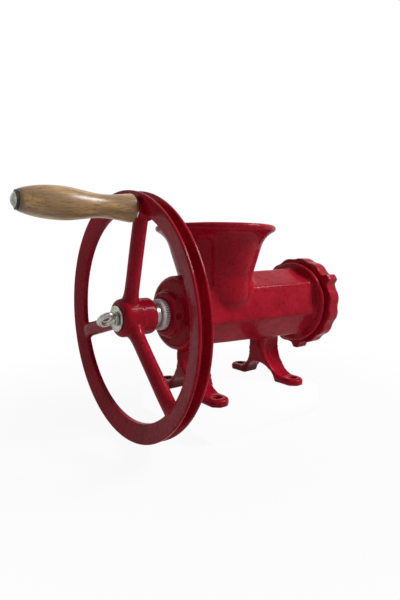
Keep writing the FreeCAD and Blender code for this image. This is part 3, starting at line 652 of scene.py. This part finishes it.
def red_enamel(finish):
    """Gloss enamel over a sand-cast skin with soft pits, thin and deep in random patches, with painted shade in
    creases and a painted highlight on convex edges.
    """
    material, tree, shader, place = start_material("red_enamel")
    patches = noise_at(tree, place, scale=26.0, detail=4.0, roughness=0.55)
    mottle = noise_at(tree, place, scale=240.0, detail=3.0, roughness=0.6)
    shade = blend(tree, ranged(tree, patches, 0.35, 0.70), finish.enamel, finish.enamel_thin_and_highlight)
    shade = blend(tree, ranged(tree, mottle, 0.52, 0.72, 0.0, 0.65), shade, finish.enamel_deep_and_shade)
    # Painted shade: darker enamel in creases and recesses.
    shade = blend(tree, painted_crease_shade(tree, 0.7), shade, finish.enamel_deep_and_shade)
    # Painted highlight: lighter enamel on convex edges.
    edge = make(tree, "ShaderNodeNewGeometry").outputs["Pointiness"]
    shade = blend(tree, ranged(tree, edge, 0.525, 0.60, 0.0, 0.6), shade, finish.enamel_thin_and_highlight)
    sand = noise_at(tree, place, scale=330.0, detail=3.0, roughness=0.55)
    skin = noise_at(tree, place, scale=95.0, detail=2.0, roughness=0.5)
    pits = ranged(tree, noise_at(tree, place, scale=620.0, detail=1.0), 0.30, 0.42)
    normal = raised(tree, skin, strength=0.40, distance=1.4 * MM)
    normal = raised(tree, sand, strength=0.40, distance=0.6 * MM, under=normal)
    normal = raised(tree, pits, strength=0.16, distance=0.3 * MM, under=normal)
    gloss = ranged(tree, mottle, 0.3, 0.75, 0.20, 0.36)
    drive(tree, shader, Base_Color=shade, Roughness=gloss, Normal=normal, Specular_IOR_Level=0.025,
          Coat_Weight=0.09, Coat_Roughness=0.10)
    return material


def zinc_plate(finish):
    """Bright plating with faint tarnish, painted shade in creases and tumbling marks."""
    material, tree, shader, place = start_material("tumbled_zinc")
    clouds = noise_at(tree, place, scale=130.0, detail=4.0, roughness=0.6)
    nicks = noise_at(tree, mapped(tree, place, scale=(1.0, 3.0, 3.0)), scale=900.0, detail=2.0)
    shade = blend(tree, ranged(tree, clouds, 0.42, 0.72), finish.zinc, finish.zinc_dull_and_shade)
    # Painted shade: duller, darker zinc in creases and recesses.
    shade = blend(tree, painted_crease_shade(tree, 0.7), shade, finish.zinc_dull_and_shade)
    gloss = ranged(tree, nicks, 0.3, 0.7, 0.14, 0.34)
    normal = raised(tree, nicks, strength=0.18, distance=0.2 * MM)
    drive(tree, shader, Base_Color=shade, Roughness=gloss, Normal=normal, Metallic=1.0)
    return material


def machined_steel(name, bright, worn, low, high):
    """Turned steel with rings of tool marks about the shaft axis, its roughness between low and high."""
    material, tree, shader, place = start_material(name)
    centred = mapped(tree, place, offset=(0.0, 0.0, -SHAFT_Z))
    rings = make(tree, "ShaderNodeTexWave", {
        "Vector": centred, "Scale": 260.0, "Distortion": 1.2, "Detail": 2.0}, wave_type="RINGS",
        rings_direction="X").outputs["Fac"]
    darkening = noise_at(tree, place, scale=75.0, detail=4.0, roughness=0.6)
    shade = blend(tree, ranged(tree, darkening, 0.40, 0.72), bright, worn)
    shade = blend(tree, ranged(tree, rings, 0.0, 1.0, 0.0, 0.25), shade, worn)
    gloss = ranged(tree, darkening, 0.3, 0.7, low, high)
    normal = raised(tree, rings, strength=0.15, distance=0.2 * MM)
    drive(tree, shader, Base_Color=shade, Roughness=gloss, Normal=normal, Metallic=1.0)
    return material


def painted_groove_shadow(tree, place, start, tip, root):
    """Share of painted shadow that grows from a tip radius down to a root radius about the shaft axis, past a
    station.
    """
    centred = mapped(tree, place, offset=(0.0, 0.0, -SHAFT_Z))
    parts = make(tree, "ShaderNodeSeparateXYZ", {"Vector": centred}).outputs
    squares = [calc(tree, "MULTIPLY", parts[axis], parts[axis]) for axis in "YZ"]
    reach = calc(tree, "SQRT", calc(tree, "ADD", *squares))
    past = ranged(tree, parts["X"], start, start + 0.2 * MM)
    return calc(tree, "MULTIPLY", ranged(tree, reach, tip, root), past)


def moulded(name, clean, dirt_and_shade, gloss, grooves=None):
    """Moulded plastic or fibre with random soiling and a fine grain, painted shade in creases, and painted shadow
    in the grooves that are given.
    """
    material, tree, shader, place = start_material(name)
    soil = noise_at(tree, place, scale=160.0, detail=4.0, roughness=0.65)
    grain = noise_at(tree, place, scale=1400.0)
    shade = blend(tree, ranged(tree, soil, 0.46, 0.76, 0.0, 0.4), clean, dirt_and_shade)
    # Painted shade: the darker colour in creases and recesses.
    shade = blend(tree, painted_crease_shade(tree, 1.0), shade, dirt_and_shade)
    if grooves is not None:
        # Painted shadow in the grooves between the ribs.
        shade = blend(tree, painted_groove_shadow(tree, place, *grooves), shade, dirt_and_shade)
    drive(tree, shader, Base_Color=shade, Roughness=ranged(tree, soil, 0.3, 0.7, gloss, gloss + 0.2),
          Normal=raised(tree, grain, strength=0.12, distance=0.2 * MM))
    return material


def ribbed_nylon(context):
    """White nylon with painted shadow between the ribs of the bush."""
    finish, bush = settings(context, "finish"), settings(context, "bush")
    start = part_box("rear_bush")[0].x + bush.front
    # Painted shadow between the ribs, from near the rib tips down to their roots.
    tip = bush.radius - bush.shadow_edge * bush.rib_depth
    root = bush.radius - bush.shadow_full * bush.rib_depth
    return moulded("moulded_nylon", finish.nylon, finish.nylon_soiled_and_shade, gloss=0.36, grooves=(start, tip, root))


def varnished_wood(finish):
    """Turned hardwood with growth bands, long pores, painted shade on its outer end and a rubbed varnish."""
    material, tree, shader, place = start_material("turned_wood")
    pith = finish.wood_pith
    centred = mapped(tree, place, offset=(-pith[0], -GRIP_Y - pith[1], -GRIP_Z - pith[2]))

    def drawn_out(along):
        """Coordinates about the pith, scaled along the grain."""
        return mapped(tree, centred, scale=(along, 1.0, 1.0))

    bands = make(tree, "ShaderNodeTexWave", {
        "Vector": drawn_out(0.16), "Scale": 34.0, "Distortion": 5.5, "Detail": 3.0, "Detail Scale": 1.6},
        wave_type="RINGS", rings_direction="X").outputs["Fac"]
    cloud = noise_at(tree, drawn_out(0.40), scale=48.0, detail=3.0, roughness=0.6)
    streak = noise_at(tree, drawn_out(0.075), scale=300.0, detail=4.0, roughness=0.6)
    pore = noise_at(tree, drawn_out(0.06), scale=1300.0, detail=1.0)
    shade = blend(tree, ranged(tree, bands, 0.30, 0.90, 0.0, 0.75), finish.wood_pale, finish.wood_dark)
    shade = blend(tree, ranged(tree, cloud, 0.44, 0.66, 0.0, 0.60), shade, finish.wood_dark)
    shade = blend(tree, ranged(tree, streak, 0.46, 0.64, 0.0, 0.80), shade, finish.wood_dark)
    shade = blend(tree, ranged(tree, pore, 0.54, 0.66, 0.0, 0.75), shade, finish.wood_pore_and_end_shade)
    along = make(tree, "ShaderNodeSeparateXYZ", {"Vector": place}).outputs["X"]
    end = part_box("handle_grip")[0].x
    # Painted shade: the outer end of the grip turns dark.
    darkening = ranged(tree, along, end + finish.end_shade, end + finish.end_shade_full, 0.0, 0.85)
    shade = blend(tree, darkening, shade, finish.wood_pore_and_end_shade)
    gloss = ranged(tree, cloud, 0.3, 0.7, 0.30, 0.46)
    normal = raised(tree, streak, strength=0.10, distance=0.4 * MM)
    sunk = ranged(tree, pore, 0.62, 0.74, 1.0, 0.0)
    normal = raised(tree, sunk, strength=0.16, distance=0.2 * MM, under=normal)
    drive(tree, shader, Base_Color=shade, Roughness=gloss, Normal=normal, Coat_Weight=0.35,
          Coat_Roughness=0.2)
    return material


def finish_for(context, slot):
    """Material of one of the record's slots, made when it is first asked for."""
    finish = settings(context, "finish")
    makers = {
        "red_paint": ("red_enamel", lambda: red_enamel(finish)),
        "zinc_plate": ("tumbled_zinc", lambda: zinc_plate(finish)),
        "bright_steel": ("machined_steel", lambda: machined_steel(
            "machined_steel", finish.steel, finish.steel_worn, low=0.22, high=0.42)),
        "dark_steel": ("blackened_steel", lambda: machined_steel(
            "blackened_steel", finish.dark_steel, finish.dark_steel_worn, low=0.38, high=0.6)),
        "white_nylon": ("moulded_nylon", lambda: ribbed_nylon(context)),
        "fibre_washer": ("pressed_fibre", lambda: moulded(
            "pressed_fibre", finish.fibre, finish.fibre_dark_and_shade, gloss=0.6)),
        "varnished_wood": ("turned_wood", lambda: varnished_wood(finish)),
    }
    name, maker = makers[slot]
    return bpy.data.materials.get(name) or maker()


# Pieces


class GRINDER_OT_casting(bpy.types.Operator):
    """Make the painted casting with blended joins, and the thread on its nose"""
    bl_idname = "grinder.casting"
    bl_label = "Casting"

    def takes_fillet(self, size, place):
        """True on the outside of barrel, hopper and legs, where the pattern has fillets."""
        if place.z < size.fillet_floor or place.x > size.fillet_front:
            return False
        if radius_at(place) < size.barrel_inside:
            return False
        return place.z < size.hopper_z or math.hypot(place.x - size.hopper_x, place.y) > size.hopper_inside

    def filleted(self, size, mesh):
        """Fills hollow joins by the part of a strong smoothing that moves the surface outwards."""
        smooth = softened(mesh.copy(), size.fillet_passes)
        moves = []
        for vertex, target in zip(mesh.vertices, smooth.vertices):
            move = target.co - vertex.co
            part = (move.dot(vertex.normal) - size.fillet_start) / (size.fillet_full - size.fillet_start)
            part = min(max(part, 0.0), 1.0) if self.takes_fillet(size, vertex.co) else 0.0
            moves.append(move * part)
        for vertex, move in zip(mesh.vertices, moves):
            vertex.co += move
        bpy.data.meshes.remove(smooth)
        mesh.update()
        return softened(mesh, size.passes // 2)

    def execute(self, context):
        size = settings(context, "casting")
        paint = finish_for(context, "red_paint")
        mesh = settled(merged_copy("body_casting"), size.grain, size.passes)
        mesh = self.filleted(size, mesh)
        waved(mesh, size.waviness, size.wave_scale)
        middle = 0.5 * (size.thread_root + size.seat_radius)
        for vertex in mesh.vertices:
            place = vertex.co
            place.z = max(place.z, 0.0)
            if place.x > size.collar_x + 0.5 * size.thread_ridge:
                reach = radius_at(place)
                wanted = min(reach, size.thread_root) if reach > middle else max(reach, size.seat_radius)
                set_radius(place, wanted)
        mesh.update()
        add_piece("casting", mesh, "frame", paint, ["body_casting"], sharp=None)
        run = size.nose_length - 2.0 * size.thread_ridge
        thread = thread_mesh("nose_thread", size.collar_x + size.thread_ridge, run, size.thread_pitch,
                             size.thread_root, size.thread_ridge, paint)
        add_piece("nose_thread", thread, "frame", paint, sharp=None)
        return {"FINISHED"}


class GRINDER_OT_ring_nut(bpy.types.Operator):
    """Make the lobed ring nut with its lugs"""
    bl_idname = "grinder.ring_nut"
    bl_label = "Ring nut"

    def execute(self, context):
        size = settings(context, "nut")
        paint = finish_for(context, "red_paint")
        low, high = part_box("ring_nut")
        rear, front, seat, root = low.x, high.x, high.x - size.lip, size.root_radius
        outline = soften([
            (rear, size.bore, 0.5 * MM), (rear, root - size.rear_row, 0.0), (rear, root, 1.6 * MM),
            (rear + size.rim_row, root, 0.0), (front - size.rim_row, root, 0.0), (front, root, 1.9 * MM),
            (front, root - size.front_row, 0.0), (front, size.mouth, 1.2 * MM),
            (seat, size.mouth, 0.4 * MM), (seat, size.bore, 0.3 * MM)])
        mesh = grown(ring_mesh("ring_nut_blank", outline, size.segments), lobe_tree(), {
            "Root Radius": root, "Lobe Radius": size.lobe_radius, "Tip Radius": size.tip_radius,
            "Lug Radius": size.lug_tip, "Lug Half Width": 0.5 * size.lug_width,
            "Lug Tip Half Width": 0.5 * size.lug_tip_width, "Lobe Step": FULL_TURN / size.lobes,
            "Lug Step": FULL_TURN / size.lugs, "Start Angle": size.lug_angle, "Axis Z": SHAFT_Z,
            "Blend": size.blend, "Depth": size.depth, "Material": paint})
        add_piece("ring_nut_casting", mesh, "nut", paint, ["ring_nut"])
        return {"FINISHED"}


class GRINDER_OT_flywheel(bpy.types.Operator):
    """Make the flywheel: grooved rim, blended spokes, hub and handle boss"""
    bl_idname = "grinder.flywheel"
    bl_label = "Flywheel"

    def rim(self, size):
        """Wedge-shaped rim with a belt groove."""
        middle, outer = size.rim_x, size.radius
        inner, floor = outer - size.rim_depth, outer - size.groove_depth
        half = [
            (size.rim_inner_half, inner, 1.4 * MM), (size.rim_half, outer, 1.3 * MM),
            (size.groove_half, outer, 0.9 * MM), (size.groove_floor, floor, 1.2 * MM)]
        corners = [(middle - x, radius, rounding) for x, radius, rounding in half]
        corners += [(middle + x, radius, rounding) for x, radius, rounding in reversed(half)]
        return ring_mesh("rim", soften(corners, steps=5), segments=288)

    def hub(self, size):
        """Hub that swells under the spokes up to a mould seam."""
        low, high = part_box("flywheel")
        ends, swell = size.hub_radius, size.hub_radius + size.hub_swell
        shoulder = size.spoke_x - size.hub_shoulder
        seam, seam_half = size.spoke_x + size.hub_seam, 0.4 * MM
        corners = [
            (low.x, size.bore, 0.4 * MM), (low.x, ends, 5.5 * MM), (shoulder, swell, 3.0 * MM),
            (seam - seam_half, swell, 0.3 * MM), (seam + seam_half, ends, 0.3 * MM),
            (high.x, ends, 5.0 * MM), (high.x, size.bore, 0.4 * MM)]
        return ring_mesh("hub", soften(corners, steps=5), segments=160)

    def spoke(self, size, angle):
        """Oval bar that flares into the hub and the rim."""
        vertices, faces, rows, sides = [], [], 44, 40
        seat = size.radius - size.rim_depth
        root, tip = size.bore + size.spoke_root, seat + size.spoke_sunk
        along = Vector((0.0, math.cos(angle), math.sin(angle)))
        across = Vector((0.0, -math.sin(angle), math.cos(angle)))
        for row in range(rows + 1):
            reach = root + (tip - root) * row / rows
            at_hub = math.exp(-max(reach - size.hub_radius, 0.0) / size.hub_flare)
            at_rim = math.exp(-max(seat - reach, 0.0) / size.rim_flare)
            wide = 0.5 * size.spoke_width * (1.0 + size.hub_widening * at_hub + size.rim_widening * at_rim)
            grown_by = size.hub_thickening * at_hub - size.rim_thinning * at_rim
            thick = 0.5 * size.spoke_thickness * (1.0 + grown_by)
            x = size.spoke_x + (size.rim_x - size.spoke_x) * at_rim
            for side in range(sides):
                turn = FULL_TURN * side / sides
                offset = along * reach + across * (wide * math.cos(turn))
                vertices.append((x + thick * math.sin(turn), offset.y, SHAFT_Z + offset.z))
        for row in range(rows):
            for side in range(sides):
                follower = (side + 1) % sides
                faces.append((row * sides + side, row * sides + follower,
                              (row + 1) * sides + follower, (row + 1) * sides + side))
        faces.append(tuple(range(sides)))
        faces.append(tuple(range(rows * sides, (rows + 1) * sides)))
        return outward(mesh_from("spoke", vertices, faces))

    def handle_boss(self, size, bore):
        """Boss in the rim that carries the handle."""
        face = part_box("handle_base_washer")[1].x
        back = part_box("handle_spring_washer")[0].x
        corners = [
            (face, bore, 0.2 * MM), (face, size.boss_radius, 2.0 * MM),
            (back, size.boss_radius, 2.0 * MM), (back, bore, 0.2 * MM)]
        mesh = ring_mesh("handle_boss", soften(corners), segments=96, y=GRIP_Y, z=GRIP_Z)
        floor = size.radius - size.groove_depth - size.boss_clear
        for vertex in mesh.vertices:
            set_radius(vertex.co, min(radius_at(vertex.co), floor))
        return mesh

    def execute(self, context):
        size = settings(context, "wheel")
        casting = settings(context, "casting")
        paint = finish_for(context, "red_paint")
        turn = FULL_TURN / size.spokes
        arms = [self.hub(size), self.handle_boss(size, settings(context, "grip").bore)]
        arms += [self.spoke(size, size.spoke_angle + turn * index) for index in range(size.spokes)]
        spider = settled(joined("spider", arms), size.grain, size.passes)
        waved(spider, size.spoke_waves * casting.waviness, casting.wave_scale)
        rim = waved(self.rim(size), size.rim_waves * casting.waviness, casting.wave_scale)
        wheel = joined("wheel", [rim, spider])
        sharp = math.radians(60.0)
        add_piece("flywheel_casting", wheel, "rotor", paint, ["flywheel"], sharp)
        return {"FINISHED"}


class GRINDER_OT_grip(bpy.types.Operator):
    """Make the turned wooden grip"""
    bl_idname = "grinder.grip"
    bl_label = "Wooden grip"

    def outline(self, size, low, high):
        """Smooth outline through base, waist, belly and end, with both ends rounded."""
        stops = [
            (0.0, size.base_radius, (size.waist_radius - size.base_radius) / size.waist_at),
            (size.waist_at, size.waist_radius, 0.0),
            (size.belly_at, size.belly_radius, 0.0),
            (high - low, size.end_radius, size.end_slope)]
        curve = []
        steps = 22
        for (s0, r0, m0), (s1, r1, m1) in zip(stops, stops[1:]):
            run = s1 - s0
            for step in range(steps):
                t = step / steps
                rise = (1.0 + 2.0 * t) * (1.0 - t) ** 2 * r0 + t * t * (3.0 - 2.0 * t) * r1
                bend = run * (t * (1.0 - t) ** 2 * m0 + t * t * (t - 1.0) * m1)
                curve.append((high - s0 - run * t, rise + bend))
        flank = [(x, radius) for x, radius in curve if low + size.edge_round < x < high - size.base_round]
        base = soften([
            (high, size.bore, 0.0), (high, size.base_radius, size.base_round), (*flank[0], 0.0)], steps=6)
        end = soften([
            (*flank[-1], 0.0), (low, size.end_radius, size.edge_round), (low, size.bore, 0.0)], steps=6)
        return base[:-1] + flank + end[1:]

    def execute(self, context):
        size = settings(context, "grip")
        low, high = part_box("handle_grip")
        outline = self.outline(size, low.x, high.x)
        mesh = ring_mesh("grip", outline, segments=112, y=GRIP_Y, z=GRIP_Z)
        wood = finish_for(context, "varnished_wood")
        add_piece("wooden_grip", mesh, "grip", wood, ["handle_grip"])
        return {"FINISHED"}


class GRINDER_OT_spindle(bpy.types.Operator):
    """Make the domed spindle of the handle with its thread, and the chamfered nut behind the rim"""
    bl_idname = "grinder.spindle"
    bl_label = "Handle spindle and nut"

    def dome(self, size, tip, face):
        """Outline of the domed head, from its tip to its rim."""
        rise = face - tip - size.head_rim
        ball = (size.head_radius ** 2 + rise ** 2) / (2.0 * rise)
        widest = math.asin(size.head_radius / ball)
        steps = 10
        turns = [widest * step / steps for step in range(steps + 1)]
        return [(tip + ball * (1.0 - math.cos(turn)), ball * math.sin(turn)) for turn in turns]

    def nut(self, size, low, high):
        """Hexagon with turned chamfers on both faces."""
        step = FULL_TURN / 6
        flat = 0.5 * size.nut_width
        face, corner = size.nut_face * flat, flat / math.cos(0.5 * step)
        outline = [(low, size.bore), (low, face)]
        for part in (0.25, 0.5, 0.75, 1.0):
            outline.append((low + size.nut_chamfer * part, face + (corner - face) * part))
        mirror = [(low + high - x, radius) for x, radius in reversed(outline)]
        mesh = ring_mesh("handle_nut_blank", outline + mirror, segments=120, y=GRIP_Y, z=GRIP_Z)
        for vertex in mesh.vertices:
            turn = math.atan2(vertex.co.z - GRIP_Z, vertex.co.y - GRIP_Y) % step
            limit = flat / math.cos(turn - 0.5 * step)
            set_radius(vertex.co, min(radius_at(vertex.co, GRIP_Y, GRIP_Z), limit), GRIP_Y, GRIP_Z)
        return outward(mesh)

    def execute(self, context):
        size = settings(context, "grip")
        zinc = finish_for(context, "zinc_plate")
        low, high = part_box("handle_spindle")
        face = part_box("handle_end_washer")[0].x
        nut_low, nut_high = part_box("handle_nut")
        chamfer = size.shank - size.thread_root
        outline = self.dome(size, low.x, face) + [
            (face, size.head_radius), (face, size.shank), (nut_low.x, size.shank),
            (nut_low.x + chamfer, size.thread_root), (high.x - chamfer, size.thread_root),
            (high.x, size.thread_root - chamfer), (high.x, 0.0)]
        spindle = lathe_mesh("spindle", outline, segments=72, y=GRIP_Y, z=GRIP_Z)
        add_piece("domed_spindle", spindle, "rotor", zinc, ["handle_spindle"])
        start = nut_low.x + 2.0 * chamfer
        thread = thread_mesh("handle_thread", start, high.x - 2.0 * chamfer - start, size.thread_pitch,
                             size.thread_root, chamfer, zinc, GRIP_Y, GRIP_Z)
        add_piece("spindle_thread", thread, "rotor", zinc, sharp=None)
        nut = self.nut(size, nut_low.x, nut_high.x)
        sharp = math.radians(25.0)
        add_piece("chamfered_nut", nut, "rotor", zinc, ["handle_nut"], sharp)
        return {"FINISHED"}


class GRINDER_OT_bearing(bpy.types.Operator):
    """Make the ribbed bush of the rear bearing"""
    bl_idname = "grinder.bearing"
    bl_label = "Ribbed bush"

    def execute(self, context):
        size = settings(context, "bush")
        low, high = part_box("rear_bush")
        shoulder = low.x + size.flange
        core = size.radius - size.rib_depth
        nylon = finish_for(context, "white_nylon")
        ribs_x = low.x + size.front
        front_end, sleeve_start = ribs_x + size.front_lap, shoulder - size.sleeve_lap
        front = ring_mesh("bush_front", soften([
            (low.x, size.bore, 0.4 * MM), (low.x, size.radius - size.front_slope, 1.0 * MM),
            (front_end, size.radius, 0.4 * MM), (front_end, size.bore, 0.1 * MM)]), segments=160)
        blank = ring_mesh("bush_rim", soften([
            (ribs_x, size.bore, 0.1 * MM), (ribs_x, core, 0.1 * MM), (shoulder, core, 0.2 * MM),
            (shoulder, size.bore, 0.2 * MM)]), segments=size.ribs * size.rib_steps)
        rim = grown(blank, lobe_tree(), {
            "Root Radius": core, "Lobe Radius": size.rib_round, "Tip Radius": size.radius,
            "Lug Radius": core, "Lug Half Width": 0.0, "Lug Tip Half Width": 0.0,
            "Lobe Step": FULL_TURN / size.ribs, "Lug Step": FULL_TURN, "Start Angle": 0.0,
            "Axis Z": SHAFT_Z, "Blend": size.blend, "Depth": size.rib_depth, "Material": nylon})
        sleeve = ring_mesh("bush_sleeve", soften([
            (sleeve_start, size.bore, 0.1 * MM), (sleeve_start, size.sleeve, 0.1 * MM),
            (high.x, size.sleeve, 0.3 * MM), (high.x, size.bore, 0.3 * MM)]), segments=160)
        mesh = joined("bush", [front, rim, sleeve])
        add_piece("ribbed_bush", mesh, "frame", nylon, ["rear_bush"])
        return {"FINISHED"}


class GRINDER_OT_eye_bolt(bpy.types.Operator):
    """Make the forged eye bolt with its thread, and the dished washer under it"""
    bl_idname = "grinder.eye_bolt"
    bl_label = "Eye bolt and washer"

    def execute(self, context):
        size = settings(context, "eye")
        zinc = finish_for(context, "zinc_plate")
        mesh = settled(merged_copy("eye_bolt"), size.grain, size.passes)
        low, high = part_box("wheel_washer")
        rear, front = high.x, low.x
        for vertex in mesh.vertices:
            if vertex.co.x > rear:
                set_radius(vertex.co, min(radius_at(vertex.co), size.thread_root))
        mesh.update()
        add_piece("forged_eye_bolt", mesh, "eye", zinc, ["eye_bolt"], sharp=None)
        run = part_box("eye_bolt")[1].x - rear - size.plain
        thread = thread_mesh("eye_thread", rear + size.thread_start, run, size.thread_pitch,
                             size.thread_root, size.thread_ridge, zinc)
        add_piece("eye_bolt_thread", thread, "eye", zinc, sharp=None)
        floor = front + size.dish_depth
        outline = soften([
            (rear, size.washer_bore, 0.2 * MM), (rear, size.washer_radius, 0.6 * MM),
            (front, size.washer_radius, 0.7 * MM), (front + size.slope_depth, size.slope_radius, 0.0),
            (floor, size.dish_radius, 0.0), (floor, size.washer_bore, 0.3 * MM)])
        washer = ring_mesh("washer", outline, segments=128)
        add_piece("dished_washer", washer, "washer", zinc, ["wheel_washer"])
        return {"FINISHED"}


class GRINDER_OT_fittings(bpy.types.Operator):
    """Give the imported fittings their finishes"""
    bl_idname = "grinder.fittings"
    bl_label = "Fittings"

    def execute(self, context):
        for row in frame["record"]["subparts"]:
            node = frame["nodes"][row["node"]]
            if not node.hide_render:
                node.data.materials.clear()
                node.data.materials.append(finish_for(context, row["material_slot"]))
        return {"FINISHED"}


# Stage


class GRINDER_OT_stage(bpy.types.Operator):
    """Make the pale floor and plinth, the soft light and the camera"""
    bl_idname = "grinder.stage"
    bl_label = "Stage"

    def white_rays(self, tree):
        """1 for rays that should see plain white: from the camera, a gloss or a glass."""
        rays = make(tree, "ShaderNodeLightPath").outputs
        shiny = calc(tree, "MAXIMUM", rays["Is Glossy Ray"], rays["Is Transmission Ray"])
        return calc(tree, "MAXIMUM", rays["Is Camera Ray"], shiny)

    def floor_material(self, size, name, near_glow):
        """Pale floor that keeps shadows near the object and fades to plain white further out."""
        material, tree, shader, place = start_material(name)
        cloud = [value * size.floor_mottle for value in size.floor_colour]
        shade = blend(tree, noise_at(tree, place, scale=18.0, detail=3.0), size.floor_colour, cloud)
        drive(tree, shader, Base_Color=shade, Roughness=0.9, Specular_IOR_Level=0.1)
        glow = make(tree, "ShaderNodeEmission", {"Color": WHITE, "Strength": 1.0})
        middle = (0.0, 0.0, size.floor_z)
        away = make(tree, "ShaderNodeVectorMath", {0: place, 1: middle}, operation="DISTANCE")
        white = ranged(tree, away.outputs["Value"], size.fade_start, size.fade_end, near_glow, 1.0)
        factor = calc(tree, "MULTIPLY", self.white_rays(tree), white)
        mixed = make(tree, "ShaderNodeMixShader", {0: factor, 1: shader.outputs[0], 2: glow.outputs[0]})
        tree.links.new(mixed.outputs[0], tree.nodes["Material Output"].inputs["Surface"])
        return material

    def floor(self, size):
        """Floor under the wheel and plinth under the feet."""
        pale = self.floor_material(size, "pale_floor", size.floor_glow)
        pale_plinth = self.floor_material(size, "pale_plinth", size.plinth_glow)
        reach, z = size.floor_reach, size.floor_z
        corners = [(-reach, -reach, z), (reach, -reach, z), (reach, reach, z), (-reach, reach, z)]
        plane = mesh_from("floor", corners, [(0, 1, 2, 3)])
        bm = bmesh.new()
        fit = Matrix.Diagonal((2.0 * size.plinth_x, 2.0 * size.plinth_y, -z, 1.0))
        bmesh.ops.create_cube(bm, size=1.0, matrix=Matrix.Translation((0.0, 0.0, 0.5 * z)) @ fit)
        bmesh.ops.bevel(bm, geom=bm.edges[:], offset=size.plinth_round, segments=3, affect="EDGES")
        plinth = bpy.data.meshes.new("plinth")
        bm.to_mesh(plinth)
        bm.free()
        for mesh, material in ((plane, pale), (plinth, pale_plinth)):
            mesh.materials.append(material)
            mesh.shade_smooth()
            item = bpy.data.objects.new(mesh.name, mesh)
            bpy.context.scene.collection.objects.link(item)

    def lamp(self, name, power, side, place, target):
        """Square lamp that faces a point."""
        data = bpy.data.lights.new(name, "AREA")
        data.energy = power
        data.size = side
        lamp = bpy.data.objects.new(name, data)
        lamp.location = place
        lamp.rotation_euler = (Vector(target) - Vector(place)).to_track_quat("-Z", "Y").to_euler()
        bpy.context.scene.collection.objects.link(lamp)

    def surroundings(self, context, size):
        """White surroundings that light the object softly."""
        world = bpy.data.worlds.new("Studio")
        world.use_nodes = True
        tree = world.node_tree
        strength = make(tree, "ShaderNodeMapRange", {
            "Value": self.white_rays(tree), "To Min": size.ambient, "To Max": 1.0}).outputs[0]
        back = tree.nodes["Background"]
        back.inputs["Color"].default_value = WHITE
        tree.links.new(strength, back.inputs["Strength"])
        context.scene.world = world

    def camera(self, context, size):
        """Camera at the photograph's viewing angle."""
        data = bpy.data.cameras.new("Camera")
        data.sensor_width = SENSOR_WIDTH
        data.lens = size.lens
        data.clip_start = CLIP_START
        camera = bpy.data.objects.new("Camera", data)
        right, up = Vector(size.camera_right), -Vector(size.camera_down)
        turn = Matrix((right, up, right.cross(up))).transposed().to_4x4()
        camera.matrix_world = Matrix.Translation(size.camera_place) @ turn
        context.scene.collection.objects.link(camera)
        context.scene.camera = camera

    def execute(self, context):
        size = settings(context, "stage")
        self.floor(size)
        self.lamp("Key", size.key_power, size.key_side, size.key_place, size.lamp_target)
        self.lamp("Fill", size.fill_power, size.fill_side, size.fill_place, size.lamp_target)
        self.surroundings(context, size)
        self.camera(context, size)
        context.scene.view_settings.view_transform = "Standard"
        return {"FINISHED"}


OPERATORS = (
    GRINDER_OT_stage, GRINDER_OT_casting, GRINDER_OT_ring_nut, GRINDER_OT_flywheel, GRINDER_OT_grip,
    GRINDER_OT_spindle, GRINDER_OT_bearing, GRINDER_OT_eye_bolt, GRINDER_OT_fittings,
)
GROUPS = {
    "casting": CastingSettings, "nut": NutSettings, "wheel": WheelSettings, "grip": GripSettings,
    "bush": BushSettings, "eye": EyeSettings, "finish": FinishSettings, "stage": StageSettings,
}


class GRINDER_PT_panel(bpy.types.Panel):
    """Lists the grinder's pieces and their sizes"""
    bl_idname = "GRINDER_PT_panel"
    bl_label = "Meat grinder"
    bl_space_type = "VIEW_3D"
    bl_region_type = "UI"
    bl_category = "Grinder"

    def draw(self, context):
        for operator in OPERATORS:
            self.layout.operator(operator.bl_idname)
        for name, group in GROUPS.items():
            box = self.layout.box()
            box.label(text=name.capitalize())
            for field in group.__annotations__:
                box.prop(settings(context, name), field)


def register():
    for name, group in GROUPS.items():
        bpy.utils.register_class(group)
        setattr(bpy.types.Scene, "grinder_" + name, PointerProperty(type=group))
    for kind in (*OPERATORS, GRINDER_PT_panel):
        bpy.utils.register_class(kind)


def unregister():
    for kind in reversed((*OPERATORS, GRINDER_PT_panel)):
        bpy.utils.unregister_class(kind)
    for name, group in reversed(GROUPS.items()):
        delattr(bpy.types.Scene, "grinder_" + name)
        bpy.utils.unregister_class(group)


def main():
    register()
    bpy.ops.grinder.stage()
    bpy.ops.grinder.casting()
    bpy.ops.grinder.ring_nut()
    bpy.ops.grinder.flywheel()
    bpy.ops.grinder.grip()
    bpy.ops.grinder.spindle()
    bpy.ops.grinder.bearing()
    bpy.ops.grinder.eye_bolt()
    bpy.ops.grinder.fittings()


if __name__ == "__main__":
    main()
